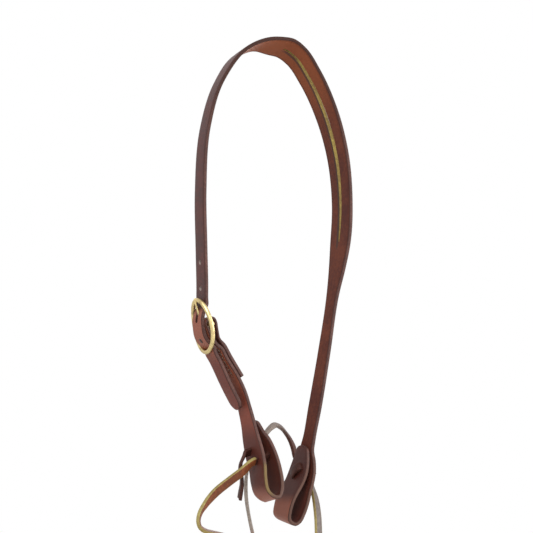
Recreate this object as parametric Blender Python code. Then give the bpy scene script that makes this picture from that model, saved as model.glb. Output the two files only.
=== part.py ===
"""Western split-ear headstall.

One crown strap carries the billet, the ear slit and the off bit end. The near cheek strap turns
round the centre bar of a brass cart buckle and carries the near bit end. A flat lace is tied
through each bit end. The origin is the underside of the crown, where it sits on the poll. Z
points up, X to the off side and Y forward. Every strap is a section swept along its own line."""

import math

import bmesh
import bpy
from mathutils import Matrix, Vector

# Leather
LEATHER = 0.0036
TURN_LEATHER = 0.0022
EDGE_ROUNDING = 0.0009
STRAP_WIDTH = 0.019
CLEARANCE = 0.0003
LAYER_GAP = 0.0007

# Lie of the headstall
HEAD_WIDTH = 0.157
BAR_REACH = 0.0812
BUCKLE_DROP = 0.2897
BUCKLE_SLANT = math.radians(8.4)
BUCKLE_TWIST = math.radians(5)
OFF_REACH = 0.0366
OFF_DROP = 0.395
OFF_SWAY = 0.012
CROWN_FLAT = 0.013

# Ear part
EAR_WIDTH = 0.038
SLIT_WIDTH = 0.0056
SLIT_START = 0.008
SLIT_DROP = 0.199

# Cart buckle
BUCKLE_HEIGHT = 0.0535
BUCKLE_WIDTH = 0.037
BUCKLE_WIRE = 0.0036
BUCKLE_BOW = 0.0016
BAR_DIAMETER = 0.0034
BAR_SET_BACK = 0.0018
TONGUE_WIRE = 0.0024

# Billet
BILLET_TIP = 0.010
HOLE_PITCH = 0.0254
HOLE_DIAMETER = 0.005
TONGUE_HOLE_LENGTH = 0.012
TONGUE_HOLE_RISE = 0.0088

# Near cheek strap
CHEEK_LENGTH = 0.0833
CHEEK_FALL = 0.0186
TAIL_STAND = 0.0069
CHEEK_TWIST = math.radians(10)
CHEEK_SWAY = 0.0059
TURN_BULGE = 0.0056
TURN_SLOT_LENGTH = 0.014
TURN_SLOT_WIDTH = 0.0046

# Bit ends
BIT_END_WIDTH = 0.0295
BIT_END_LENGTH = 0.082
EYE_WIDTH = 0.020
RETURN_TIP = 0.006
NEAR_END_SLANT = math.radians(19.2)
NEAR_END_SWAY = math.radians(-8)
NEAR_END_SKEW = math.radians(9)
OFF_END_SLANT = math.radians(-9.1)
OFF_END_SWAY = math.radians(9)
OFF_END_TWIST = math.radians(1)
SKEW_START_SHARE = 0.55

# Laces and their slots
LACE_WIDTH = 0.0085
LACE = 0.003
SLOT_PLAY = 0.0008
SLOT_PITCH = 0.013
SLOT_TURN = math.radians(40)
TIE_STAND = 0.0006
TIE_LIFT = 0.0009

STATION_STEP = 0.010
CUT_OVERRUN = 0.006
ACROSS = Vector((0, 1, 0))

# Colours, linear
BROWN = (0.145, 0.047, 0.032, 1)
LACE_BROWN = (0.260, 0.080, 0.025, 1)
BRASS = (0.700, 0.540, 0.160, 1)

# Crown strap as (x, y, z, widen): shares of the head's width, of the off side's sway, of the
# drop to the buckle or to the off bit end, and of the change from strap width to ear width
NEAR_LEG_SHARES = (
    (-0.535, 0.0, 0.888, 0.0), (-0.543, 0.0, 0.748, 0.0), (-0.552, 0.0, 0.558, 0.0),
    (-0.524, 0.0, 0.334, 0.0), (-0.432, 0.0, 0.168, 0.12), (-0.276, 0.0, 0.049, 0.70),
    (-0.127, 0.0, 0.0085, 1.0),
)
OFF_LEG_SHARES = (
    (0.115, 0.0, 0.0165, 1.0), (0.217, 0.0, 0.0678, 1.0), (0.338, 0.0, 0.1615, 1.0),
    (0.417, 0.0, 0.2704, 1.0), (0.446, 0.0, 0.397, 1.0), (0.430, 0.04, 0.511, 0.98),
    (0.408, 0.10, 0.574, 0.60), (0.379, 0.17, 0.6375, 0.14), (0.319, 0.375, 0.789, 0.0),
    (0.266, 0.79, 0.9286, 0.0),
)

# Billet through the buckle as (along, drop): shares of half the buckle's height and of the
# way from over the bar to behind the rails
BILLET_OVER_SHARES = (
    (0.733, 1.0), (0.48, 0.48), (0.24, 0.10), (0.0, 0.0), (-0.18, 0.07), (-0.36, 0.36),
    (-0.54, 0.72), (-0.733, 1.0), (-0.98, 0.95),
)
# Billet's tail as (along, fall): shares of the cheek's length and of its fall to the horse
BILLET_TAIL_SHARES = (
    (0.30, -0.02), (0.42, 0.16), (0.66, 0.52), (0.77, 0.66), (0.88, 0.80), (1.0, 0.96),
)
# How far each station of the tail stands off the cheek, as shares of the most it does
STAND_SHARES = (0.0, 0.0, 0.50, 0.62, 0.95, 1.0, 0.93, 0.68)
# Turn round the bar as (along, behind): shares of the turn's bulge
TURN_SHARES = (
    (-0.55, -0.38), (-0.95, 0.10), (-1.0, 0.58), (-0.62, 0.95), (0.1, 1.0), (1.6, 1.07),
    (2.45, 1.22),
)

# Bit ends as (along, out, widen) down the outer layer, then (along, gap, widen) up the inner
# one: shares of the bit end's length, of the eye's width and of the change to the end's width
NEAR_OUTER_SHARES = (
    (0.0, 0.0, 0.0), (0.21, 0.10, 0.25), (0.366, 0.20, 0.60), (0.557, 0.33, 0.95),
    (0.70, 0.53, 1.0), (0.86, 0.78, 1.0), (0.975, 0.86, 1.0), (1.05, 0.70, 1.0),
    (1.08, 0.46, 1.0),
)
NEAR_INNER_SHARES = (
    (1.04, -0.40, 1.0), (0.955, -0.225, 1.0), (0.81, -0.10, 1.0), (0.565, -0.055, 1.0),
    (0.44, -0.06, 0.80), (0.34, -0.12, 0.45), (0.25, -0.12, 0.10),
)
OFF_OUTER_SHARES = (
    (0.0, 0.0, 0.0), (0.13, 0.01, 0.28), (0.24, 0.145, 0.70), (0.36, 0.23, 1.0),
    (0.47, 0.26, 1.0), (0.60, 0.23, 1.0), (0.75, 0.21, 1.0), (0.88, 0.12, 1.0),
    (0.96, 0.0, 1.0), (1.0, -0.22, 1.0),
)
OFF_INNER_SHARES = (
    (0.955, 0.40, 1.0), (0.87, 0.455, 1.0), (0.76, 0.43, 1.0), (0.66, 0.32, 1.0),
    (0.534, 0.12, 1.0), (0.40, 0.005, 1.0), (0.27, -0.02, 0.65), (0.16, 0.0, 0.10),
)
NEAR_TIED_STATION = 3
OFF_TIED_STATION = 5

# Free ends of the laces, laid out by hand: places and the ways the width points
NEAR_LONG_TAIL = (
    ((-0.0503, -0.0172, -0.4263), (-0.70, -0.36, 0.61)),
    ((-0.0629, -0.0165, -0.4353), (-0.70, -0.36, 0.61)),
    ((-0.0767, -0.0160, -0.4455), (-0.76, -0.28, 0.58)),
    ((-0.0865, -0.0150, -0.4555), (-0.88, -0.08, 0.47)),
    ((-0.0903, -0.0145, -0.4640), (-0.85, 0.50, 0.15)),
    ((-0.0897, -0.0140, -0.4725), (-0.50, 0.86, 0.00)),
    ((-0.0855, -0.0140, -0.4780), (-0.30, 0.95, 0.05)),
    ((-0.0790, -0.0140, -0.4803), (-0.20, 0.97, 0.10)),
    ((-0.0700, -0.0140, -0.4825), (-0.20, 0.97, 0.10)),
    ((-0.0580, -0.0140, -0.4870), (-0.20, 0.97, 0.10)),
    ((-0.0480, -0.0140, -0.4940), (-0.20, 0.97, 0.10)),
)
NEAR_SHORT_TAIL = (
    ((-0.0442, -0.0072, -0.4120), (-0.05, -0.80, 0.60)),
    ((-0.0444, -0.0064, -0.4180), (0.15, -0.95, 0.20)),
    ((-0.0434, -0.0060, -0.4260), (0.30, -0.95, 0.00)),
    ((-0.0440, -0.0062, -0.4350), (0.30, -0.95, 0.00)),
    ((-0.0460, -0.0066, -0.4440), (0.30, -0.95, 0.00)),
    ((-0.0485, -0.0070, -0.4530), (0.30, -0.95, 0.00)),
    ((-0.0510, -0.0075, -0.4610), (0.30, -0.95, 0.00)),
)
OFF_TAIL = (
    ((0.0437, 0.0226, -0.4375), (0.35, 0.66, 0.45)),
    ((0.0458, 0.0226, -0.4450), (0.60, 0.50, 0.20)),
    ((0.0475, 0.0224, -0.4540), (0.85, 0.10, 0.05)),
    ((0.0487, 0.0222, -0.4640), (0.90, -0.35, 0.00)),
    ((0.0500, 0.0220, -0.4850), (0.90, -0.40, 0.00)),
    ((0.0503, 0.0220, -0.5080), (0.90, -0.40, 0.00)),
    ((0.0495, 0.0220, -0.5320), (0.90, -0.40, 0.00)),
    ((0.0480, 0.0220, -0.5560), (0.90, -0.40, 0.00)),
)
OFF_OVER_TAIL = (
    ((0.0434, 0.0175, -0.4240), (0.20, 0.15, 0.95)),
    ((0.0440, 0.0245, -0.4215), (0.10, -0.20, 0.97)),
    ((0.0428, 0.0320, -0.4195), (0.10, -0.10, 0.97)),
    ((0.0390, 0.0370, -0.4170), (0.30, 0.25, 0.90)),
    ((0.0345, 0.0375, -0.4115), (0.40, 0.70, 0.40)),
    ((0.0320, 0.0365, -0.4040), (0.43, 0.89, 0.16)),
    ((0.0280, 0.0355, -0.3965), (0.43, 0.89, 0.16)),
    ((0.0212, 0.0330, -0.3888), (0.43, 0.89, 0.16)),
    ((0.0141, 0.0300, -0.3833), (0.43, 0.89, 0.16)),
    ((0.0076, 0.0280, -0.3814), (0.43, 0.89, 0.16)),
    ((0.0005, 0.0250, -0.3845), (0.43, 0.89, 0.16)),
    ((-0.0060, 0.0235, -0.3905), (0.43, 0.89, 0.16)),
    ((-0.0160, 0.0220, -0.4040), (0.43, 0.89, 0.16)),
    ((-0.0240, 0.0210, -0.4170), (0.43, 0.89, 0.16)),
    ((-0.0280, 0.0200, -0.4310), (0.43, 0.89, 0.16)),
    ((-0.0290, 0.0200, -0.4480), (0.43, 0.89, 0.16)),
    ((-0.0278, 0.0200, -0.4600), (0.43, 0.89, 0.16)),
    ((-0.0256, 0.0200, -0.4719), (0.43, 0.89, 0.16)),
    ((-0.0224, 0.0200, -0.4838), (0.43, 0.89, 0.16)),
    ((-0.0180, 0.0200, -0.4990), (0.43, 0.89, 0.16)),
    ((-0.0150, 0.0200, -0.5150), (0.43, 0.89, 0.16)),
)


def clear_scene():
    for item in list(bpy.data.objects):
        bpy.data.objects.remove(item, do_unlink=True)


def material(name, colour, roughness, metallic=0.0):
    made = bpy.data.materials.new(name)
    made.use_nodes = True
    shader = made.node_tree.nodes["Principled BSDF"]
    shader.inputs["Base Color"].default_value = colour
    shader.inputs["Roughness"].default_value = roughness
    shader.inputs["Metallic"].default_value = metallic
    return made


def link(name, mesh, finish=None):
    mesh.shade_smooth()
    mesh.set_sharp_from_angle(angle=math.radians(40))
    made = bpy.data.objects.new(name, mesh)
    bpy.context.scene.collection.objects.link(made)
    if finish:
        mesh.materials.append(finish)
    return made


def boolean(piece, guide, operation="DIFFERENCE"):
    guide.hide_render = True
    guide.display_type = "WIRE"
    step = piece.modifiers.new(guide.name, "BOOLEAN")
    step.operation = operation
    step.solver = "EXACT"
    step.object = guide


class Frame:
    """A place on the headstall. Along runs down the strap, across over its width and out away
    from the horse. The side is 1 for the off side and -1 for the near side."""

    def __init__(self, origin, slant, sway, twist, side):
        self.origin = Vector(origin)
        level = math.cos(sway)
        self.along = Vector((math.sin(slant) * level, math.sin(sway), -math.cos(slant) * level))
        across = Vector((-math.sin(twist), math.cos(twist), 0))
        self.across = (across - self.along * across.dot(self.along)).normalized()
        self.out = self.along.cross(self.across) * side

    def point(self, along, out, across=0.0):
        return self.origin + self.along * along + self.out * out + self.across * across

    def matrix(self):
        """Local X runs across and Y along."""
        normal = self.across.cross(self.along)
        turn = Matrix((self.across, self.along, normal)).transposed()
        return Matrix.Translation(self.origin) @ turn.to_4x4()


def station(place, width, thickness, across=ACROSS):
    """A row of numbers: place, width, thickness and the way the width points."""
    return (*place, width, thickness, *across)


def distance(a, b):
    return math.dist(a[:3], b[:3])


def slope(before, row, after):
    """The rate of change at a row, from a parabola through it and its two neighbours."""
    if before is None:
        return [(c - b) / distance(row, after) for b, c in zip(row, after)]
    if after is None:
        return [(b - a) / distance(before, row) for a, b in zip(before, row)]
    low, high = distance(before, row), distance(row, after)
    return [
        ((c - b) * low / high + (b - a) * high / low) / (low + high)
        for a, b, c in zip(before, row, after)
    ]


def smooth(rows, straight=None, step=STATION_STEP, least=3):
    """A smooth run of rows through the given ones. The span that starts at the row numbered
    straight stays one flat facet."""
    rows = [tuple(row) for row in rows]
    beside = [None] + rows + [None]
    slopes = [slope(*beside[i:i + 3]) for i in range(len(rows))]
    run = [rows[0]]
    for i in range(len(rows) - 1):
        gap = distance(rows[i], rows[i + 1])
        count = 1 if i == straight else max(least, math.ceil(gap / step))
        for k in range(1, count + 1):
            t = k / count
            start, lead = 2 * t**3 - 3 * t**2 + 1, (t**3 - 2 * t**2 + t) * gap
            end, trail = 3 * t**2 - 2 * t**3, (t**3 - t**2) * gap
            run.append(tuple(
                start * a + lead * m + end * b + trail * n
                for a, m, b, n in zip(rows[i], slopes[i], rows[i + 1], slopes[i + 1])
            ))
    return run


def strap_outline(width, thickness, corner=3):
    """A rectangle with rounded edges, as (across, out) points."""
    rounding = min(EDGE_ROUNDING, 0.35 * thickness, 0.35 * width)
    points = []
    for quarter, (x, y) in enumerate(((1, 1), (-1, 1), (-1, -1), (1, -1))):
        for k in range(corner):
            angle = math.radians(90 * (quarter + k / (corner - 1)))
            points.append((
                x * (width / 2 - rounding) + rounding * math.cos(angle),
                y * (thickness / 2 - rounding) + rounding * math.sin(angle),
            ))
    return points


def lace_outline(width, thickness):
    return strap_outline(width, thickness, corner=2)


def cutter_outline(width, thickness):
    return [(x * width / 2, y * thickness / 2) for x, y in ((1, 1), (-1, 1), (-1, -1), (1, -1))]


def round_outline(width, thickness):
    sides = 10
    turns = [2 * math.pi * k / sides for k in range(sides)]
    return [(width / 2 * math.cos(turn), thickness / 2 * math.sin(turn)) for turn in turns]


def sweep(name, rows, outline, closed=False):
    """A mesh with a section at each row, joined by rings of faces."""
    bm = bmesh.new()
    places = [Vector(row[:3]) for row in rows]
    last = len(rows) - 1
    rings = []
    for i, row in enumerate(rows):
        before = places[i - 1 if closed else max(i - 1, 0)]
        after = places[(i + 1) % len(rows) if closed else min(i + 1, last)]
        heading = (after - before).normalized()
        hint = Vector(row[5:8])
        across = (hint - heading * hint.dot(heading)).normalized()
        out = heading.cross(across)
        section = outline(row[3], row[4])
        rings.append([bm.verts.new(places[i] + across * x + out * y) for x, y in section])
    sides = len(rings[0])
    following = rings[1:] + rings[:1] if closed else rings[1:]
    for low, high in zip(rings, following):
        for k in range(sides):
            after = (k + 1) % sides
            bm.faces.new((low[k], low[after], high[after], high[k]))
    if not closed:
        bm.faces.new(rings[0])
        bm.faces.new(rings[-1])
    bmesh.ops.recalc_face_normals(bm, faces=bm.faces)
    mesh = bpy.data.meshes.new(name)
    bm.to_mesh(mesh)
    bm.free()
    return mesh


def rounded_end(rows, length, steps=5):
    """The rows with a round end of the given length drawn before the first one."""
    start = Vector(rows[0][:3])
    heading = (Vector(rows[1][:3]) - start).normalized()
    tip = []
    for k in range(steps):
        angle = math.radians(14 + 76 * k / steps)
        place = start - heading * (length * math.cos(angle))
        tip.append((*place, rows[0][3] * math.sin(angle), *rows[0][4:]))
    return tip + rows


def round_both_ends(rows, first, last):
    rows = rounded_end(rows, first)
    return rounded_end(rows[::-1], last)[::-1]


def stadium(name, length, width, depth, matrix):
    """A cutter with round ends: its length along X, its width along Y, its depth along Z."""
    bm = bmesh.new()
    points = []
    for side in (1, -1):
        for k in range(7):
            angle = math.radians(30 * k - 90)
            points.append((
                side * ((length - width) / 2 + width / 2 * math.cos(angle)),
                side * width / 2 * math.sin(angle),
                -depth / 2,
            ))
    base = bm.faces.new([bm.verts.new(point) for point in points])
    grown = bmesh.ops.extrude_face_region(bm, geom=[base])
    top = [item for item in grown["geom"] if isinstance(item, bmesh.types.BMVert)]
    bmesh.ops.translate(bm, verts=top, vec=(0, 0, depth))
    bmesh.ops.recalc_face_normals(bm, faces=bm.faces)
    mesh = bpy.data.meshes.new(name)
    bm.to_mesh(mesh)
    bm.free()
    made = link(name, mesh)
    made.matrix_world = matrix
    return made


def widened(share, wide):
    return STRAP_WIDTH + (wide - STRAP_WIDTH) * share


# Levels round the buckle's bar, measured out from its middle
RAIL_RADIUS = BUCKLE_WIRE / 2
HALF_HEIGHT = BUCKLE_HEIGHT / 2 - RAIL_RADIUS
HALF_WIDTH = BUCKLE_WIDTH / 2 - RAIL_RADIUS
TURN_LEVEL = BAR_DIAMETER / 2 + CLEARANCE + TURN_LEATHER / 2
EYE_LEVEL = BAR_DIAMETER / 2 + CLEARANCE + TONGUE_WIRE / 2
TOPMOST = max(TURN_LEVEL + TURN_LEATHER / 2, EYE_LEVEL + TONGUE_WIRE / 2)
OVER_BAR = TOPMOST + CLEARANCE + LEATHER / 2
REST_LEVEL = BAR_SET_BACK + BUCKLE_BOW + RAIL_RADIUS + CLEARANCE + TONGUE_WIRE / 2
BUCKLE = Frame((-BAR_REACH, 0, -BUCKLE_DROP), BUCKLE_SLANT, 0, BUCKLE_TWIST, -1)


def behind_rail(share):
    """The level of a strap's middle behind the frame, at a share of its half height."""
    return BAR_SET_BACK + BUCKLE_BOW * share**2 - RAIL_RADIUS - 2 * CLEARANCE - LEATHER / 2


def billet_levels():
    """The billet's middle as (along, out) in the buckle's frame, from the top down."""
    levels = []
    for along, drop in reversed(BILLET_OVER_SHARES):
        behind = behind_rail(BILLET_OVER_SHARES[0][0])
        levels.append((along * HALF_HEIGHT, OVER_BAR + (behind - OVER_BAR) * drop))
    start = levels[-1][1]
    for along, fall in BILLET_TAIL_SHARES:
        levels.append((along * CHEEK_LENGTH, start - CHEEK_FALL * fall))
    return levels


def layer_behind(levels, gaps):
    """The levels of a layer behind the last of the given ones, a gap from each."""
    layer = []
    first = len(levels) - len(gaps)
    for i, gap in enumerate(gaps, first):
        low, high = levels[i - 1], levels[min(i + 1, len(levels) - 1)]
        along, out = high[0] - low[0], high[1] - low[1]
        share = gap / math.hypot(along, out)
        layer.append((levels[i][0] + out * share, levels[i][1] - along * share))
    return layer


def cheek_place(along, out):
    sway = CHEEK_SWAY * max(along / CHEEK_LENGTH, 0) ** 1.5
    return BUCKLE.point(along, out, -sway)


def cheek_rows(levels, thickness=LEATHER):
    turned = Vector((-math.sin(CHEEK_TWIST), math.cos(CHEEK_TWIST), 0))
    rows = []
    for along, out in levels:
        across = BUCKLE.across.lerp(turned, min(max(2 * along / CHEEK_LENGTH, 0), 1))
        rows.append(station(cheek_place(along, out), STRAP_WIDTH, thickness, across))
    return rows


LAYER_PITCH = LEATHER + LAYER_GAP
BILLET = billet_levels()
MAIN_LAYER = layer_behind(BILLET, [LAYER_PITCH + TAIL_STAND * share for share in STAND_SHARES])
TURNED_LAYER = layer_behind(MAIN_LAYER, [LAYER_PITCH] * 6)[:3]


def inner_place(frame, along, gap):
    return frame.point(along * BIT_END_LENGTH, -LEATHER - LAYER_GAP - gap * EYE_WIDTH)


def skewed(frame, place, width, skew, share):
    """A row turned about its near edge, more so towards the bottom of the bit end."""
    turn = skew * max(share - SKEW_START_SHARE, 0) / (1 - SKEW_START_SHARE)
    across = frame.across * math.cos(turn) - frame.out * math.sin(turn)
    return station(place + (across - frame.across) * width / 2, width, LEATHER, across)


def bit_end_rows(frame, outer, inner, skew=0):
    """Down the outer layer of a bit end, round the eye and up the inner layer."""
    rows = []
    for along, out, widen in outer:
        place = frame.point(along * BIT_END_LENGTH, out * EYE_WIDTH)
        rows.append(skewed(frame, place, widened(widen, BIT_END_WIDTH), skew, along))
    for along, gap, widen in inner:
        place = inner_place(frame, along, gap)
        rows.append(skewed(frame, place, widened(widen, BIT_END_WIDTH), skew, along))
    return rows


NEAR_END = Frame(cheek_place(*MAIN_LAYER[-1]), NEAR_END_SLANT, NEAR_END_SWAY, CHEEK_TWIST, -1)
OFF_END = Frame((OFF_REACH, OFF_SWAY, -OFF_DROP), OFF_END_SLANT, OFF_END_SWAY, OFF_END_TWIST, 1)


def leg_row(x, y, z, widen, drop):
    place = (x * HEAD_WIDTH, y * OFF_SWAY, LEATHER / 2 - z * drop)
    turned = ACROSS.lerp(BUCKLE.across, min(2 * z, 1)) if x < 0 else ACROSS
    return station(place, widened(widen, EAR_WIDTH), LEATHER, turned)


def crown_run():
    """The crown strap from the billet's tip to the end of the off bit end's inner layer."""
    rows = cheek_rows(BILLET[-2::-1])
    rows += [leg_row(*shares, BUCKLE_DROP) for shares in NEAR_LEG_SHARES]
    level = len(rows)
    for x in (-CROWN_FLAT / 2, CROWN_FLAT / 2):
        rows.append(station((x, 0, LEATHER / 2), EAR_WIDTH, LEATHER))
    rows += [leg_row(*shares, OFF_DROP) for shares in OFF_LEG_SHARES]
    rows += bit_end_rows(OFF_END, OFF_OUTER_SHARES, OFF_INNER_SHARES)
    return smooth(rows, straight=level)


def slit_rows(run):
    """The stretch of the crown strap that the ear slit opens, drawn in to a lens."""
    opened = [row for row in run if row[0] > SLIT_START and row[2] > -SLIT_DROP]
    rows = []
    for k, row in enumerate(opened):
        share = k / (len(opened) - 1)
        lens = 0.25 + 0.75 * math.sin(math.pi * share) ** 0.6
        rows.append((*row[:3], SLIT_WIDTH * lens, 4 * LEATHER, *row[5:]))
    return rows


def matrix_on(run, place, shift):
    """A place a distance along the strap from the point of it nearest to the given one. Local
    X runs along the strap and Y across."""
    i = min(range(len(run) - 1), key=lambda k: (Vector(run[k][:3]) - place).length)
    start = Vector(run[i][:3])
    left = shift + (place - start).dot((Vector(run[i + 1][:3]) - start).normalized())
    while left > distance(run[i], run[i + 1]):
        left -= distance(run[i], run[i + 1])
        i += 1
    while left < 0:
        i -= 1
        left += distance(run[i], run[i + 1])
    start = Vector(run[i][:3])
    heading = (Vector(run[i + 1][:3]) - start).normalized()
    across = Vector(run[i][5:8])
    across = (across - heading * across.dot(heading)).normalized()
    turn = Matrix((heading, across, heading.cross(across))).transposed()
    return Matrix.Translation(start + heading * left) @ turn.to_4x4()


class Tie:
    """A lace through a bit end: in through one slot, over the inner layer, out of the other."""

    def __init__(self, frame, outer, inner, tied):
        before, place, after = [
            inner_place(frame, along, gap)
            for along, gap, widen in inner[tied - 1:tied + 2]
        ]
        down = (before - after).normalized()
        self.place = place
        self.out = (frame.out - down * frame.out.dot(down)).normalized()
        across = down.cross(self.out)
        self.step = down * math.cos(SLOT_TURN) - across * math.sin(SLOT_TURN)
        self.wide = self.out.cross(self.step)
        level = inner[tied][0]
        lower = [out for along, out, widen in outer if along > level][0]
        face = frame.point(level * BIT_END_LENGTH, lower * EYE_WIDTH)
        self.reach = (face - place).dot(self.out) + LEATHER / 2 + TIE_STAND

    def point(self, step, out):
        return self.place + self.step * step + self.out * out

    def cut(self, piece, side):
        turn = Matrix((self.wide, self.step, self.wide.cross(self.step))).transposed()
        middle = self.point(side * SLOT_PITCH / 2, self.reach / 2)
        matrix = Matrix.Translation(middle) @ turn.to_4x4()
        depth = self.reach + 2 * (LEATHER + CUT_OVERRUN)
        name = f"{piece.name}_slot_{'upper' if side < 0 else 'lower'}"
        length = LACE_WIDTH + SLOT_PLAY
        boolean(piece, stadium(name, length, LACE + SLOT_PLAY, depth, matrix))

    def rows(self):
        half = SLOT_PITCH / 2
        bend = LACE / 2 + CLEARANCE
        level = -(LEATHER / 2 + TIE_LIFT + LACE / 2)
        quarter = [
            (half, self.reach),
            (half, level + 2 * bend),
            (half, level + bend),
            (half - 0.3 * bend, level + 0.3 * bend),
            (half - bend, level),
        ]
        path = [(-step, out) for step, out in quarter] + quarter[::-1]
        return [station(self.point(*spot), LACE_WIDTH, LACE, self.wide) for spot in path]


NEAR_TIE = Tie(NEAR_END, NEAR_OUTER_SHARES, NEAR_INNER_SHARES, NEAR_TIED_STATION)
OFF_TIE = Tie(OFF_END, OFF_OUTER_SHARES, OFF_INNER_SHARES, OFF_TIED_STATION)


def crown_strap(finish):
    run = crown_run()
    rows = round_both_ends(run, BILLET_TIP, RETURN_TIP)
    piece = link("crown_strap", sweep("crown_strap", rows, strap_outline), finish)
    slit = sweep("ear_slit", slit_rows(run), cutter_outline)
    boolean(piece, link("ear_slit", slit))
    hole = BUCKLE.point(-TONGUE_HOLE_RISE, OVER_BAR)
    for number in range(-1, 3):
        length = HOLE_DIAMETER * 1.1 if number else TONGUE_HOLE_LENGTH
        matrix = matrix_on(run, hole, number * HOLE_PITCH)
        depth = 2 * (LEATHER + CUT_OVERRUN)
        boolean(piece, stadium(f"billet_hole_{number + 1}", length, HOLE_DIAMETER, depth, matrix))
    for side in (-1, 1):
        OFF_TIE.cut(piece, side)
    return piece


def near_cheek_strap(finish):
    rows = bit_end_rows(NEAR_END, NEAR_OUTER_SHARES, NEAR_INNER_SHARES, NEAR_END_SKEW)[:0:-1]
    rows += cheek_rows(MAIN_LAYER[::-1])
    over = [(0.62 * TURN_LEVEL, 0.79 * TURN_LEVEL), (0, TURN_LEVEL)]
    turn = [(along * TURN_BULGE, -behind * TURN_BULGE) for along, behind in TURN_SHARES]
    rows += cheek_rows(over + turn, TURN_LEATHER)
    rows += cheek_rows(TURNED_LAYER)
    rows = rounded_end(smooth(rows), RETURN_TIP)
    piece = link("near_cheek_strap", sweep("near_cheek_strap", rows, strap_outline), finish)
    matrix = BUCKLE.matrix() @ Matrix.Rotation(math.radians(90), 4, "Z")
    depth = 4 * TURN_BULGE
    boolean(piece, stadium("tongue_slot", TURN_SLOT_LENGTH, TURN_SLOT_WIDTH, depth, matrix))
    for side in (-1, 1):
        NEAR_TIE.cut(piece, side)
    return piece


def buckle_frame(finish):
    """An oval ring whose ends bow out, with a straight bar across its middle."""
    rows = []
    for k in range(40):
        turn = 2 * math.pi * k / 40
        x, y = [math.copysign(abs(v) ** 0.94, v) for v in (math.cos(turn), math.sin(turn))]
        place = (HALF_WIDTH * x, HALF_HEIGHT * y, BAR_SET_BACK + BUCKLE_BOW * y**2)
        rows.append(station(place, BUCKLE_WIRE, BUCKLE_WIRE, (0, 0, 1)))
    ring = link("buckle_frame", sweep("buckle_frame", rows, round_outline, closed=True), finish)
    reach = HALF_WIDTH + RAIL_RADIUS / 3
    ends = [(-reach, 0, 0), (reach, 0, 0)]
    rows = [station(end, BAR_DIAMETER, BAR_DIAMETER, (0, 0, 1)) for end in ends]
    bar = link("centre_bar", sweep("centre_bar", rows, round_outline))
    ring.matrix_world = BUCKLE.matrix()
    bar.matrix_world = BUCKLE.matrix()
    boolean(ring, bar, "UNION")
    return ring


def buckle_tongue(finish):
    """A wire eye round the bar and a shank that rests on the front of the top rail."""
    places = []
    for angle in range(210, -11, -20):
        turn = math.radians(angle)
        places.append((0, EYE_LEVEL * math.sin(turn), EYE_LEVEL * math.cos(turn)))
    climb = REST_LEVEL - EYE_LEVEL
    shank = ((0.30, 0.22), (0.65, 0.66), (1.0, 1.0), (1.09, 0.99))
    places += [(0, -HALF_HEIGHT * a, EYE_LEVEL + climb * b) for a, b in shank]
    rows = [station(place, TONGUE_WIRE, TONGUE_WIRE, (1, 0, 0)) for place in places]
    run = smooth(rows, step=TONGUE_WIRE * 3, least=1)
    tip = rounded_end(run[::-1], TONGUE_WIRE / 2, 3)
    made = link("buckle_tongue", sweep("buckle_tongue", tip, round_outline), finish)
    made.matrix_world = BUCKLE.matrix()
    return made


def lace(name, rows, finish):
    return link(name, sweep(name, smooth(rows, step=LACE_WIDTH), lace_outline), finish)


def tail(name, tie, side, route, finish):
    """A free end that starts where the tie ends and follows its own route."""
    half = side * SLOT_PITCH / 2
    starts = [tie.point(half, tie.reach + gap) for gap in (CLEARANCE, LACE / 2)]
    rows = [station(place, LACE_WIDTH, LACE, tie.wide) for place in starts]
    rows += [station(place, LACE_WIDTH, LACE, across) for place, across in route]
    return lace(name, rows, finish)


def main():
    clear_scene()
    leather = material("oiled_leather", BROWN, 0.42)
    lacing = material("lace_leather", LACE_BROWN, 0.5)
    brass = material("cast_brass", BRASS, 0.28, 1.0)
    crown_strap(leather)
    buckle_frame(brass)
    buckle_tongue(brass)
    lace("off_tie", OFF_TIE.rows(), lacing)
    tail("off_tail", OFF_TIE, 1, OFF_TAIL, lacing)
    tail("off_over_tail", OFF_TIE, -1, OFF_OVER_TAIL, lacing)
    turning = [
        near_cheek_strap(leather),
        lace("near_tie", NEAR_TIE.rows(), lacing),
        tail("near_long_tail", NEAR_TIE, 1, NEAR_LONG_TAIL, lacing),
        tail("near_short_tail", NEAR_TIE, -1, NEAR_SHORT_TAIL, lacing),
    ]
    axis = bpy.data.objects.new("bar_axis", None)
    bpy.context.scene.collection.objects.link(axis)
    axis.matrix_world = BUCKLE.matrix()
    for piece in turning:
        piece.parent = axis
        piece.matrix_parent_inverse = axis.matrix_world.inverted()


if __name__ == "__main__":
    main()
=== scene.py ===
"""Looks of a western split-ear headstall: oiled harness leather, a brass cart buckle, latigo
laces in the bit ends and waxed stitching under the buckle.

Lengths are in metres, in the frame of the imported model: Z up, X to the off side, Y forward."""

import math

import bmesh
import bpy
from bpy.props import (
    FloatProperty, FloatVectorProperty, IntProperty, PointerProperty, StringProperty)
from mathutils import Matrix, Vector


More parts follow.
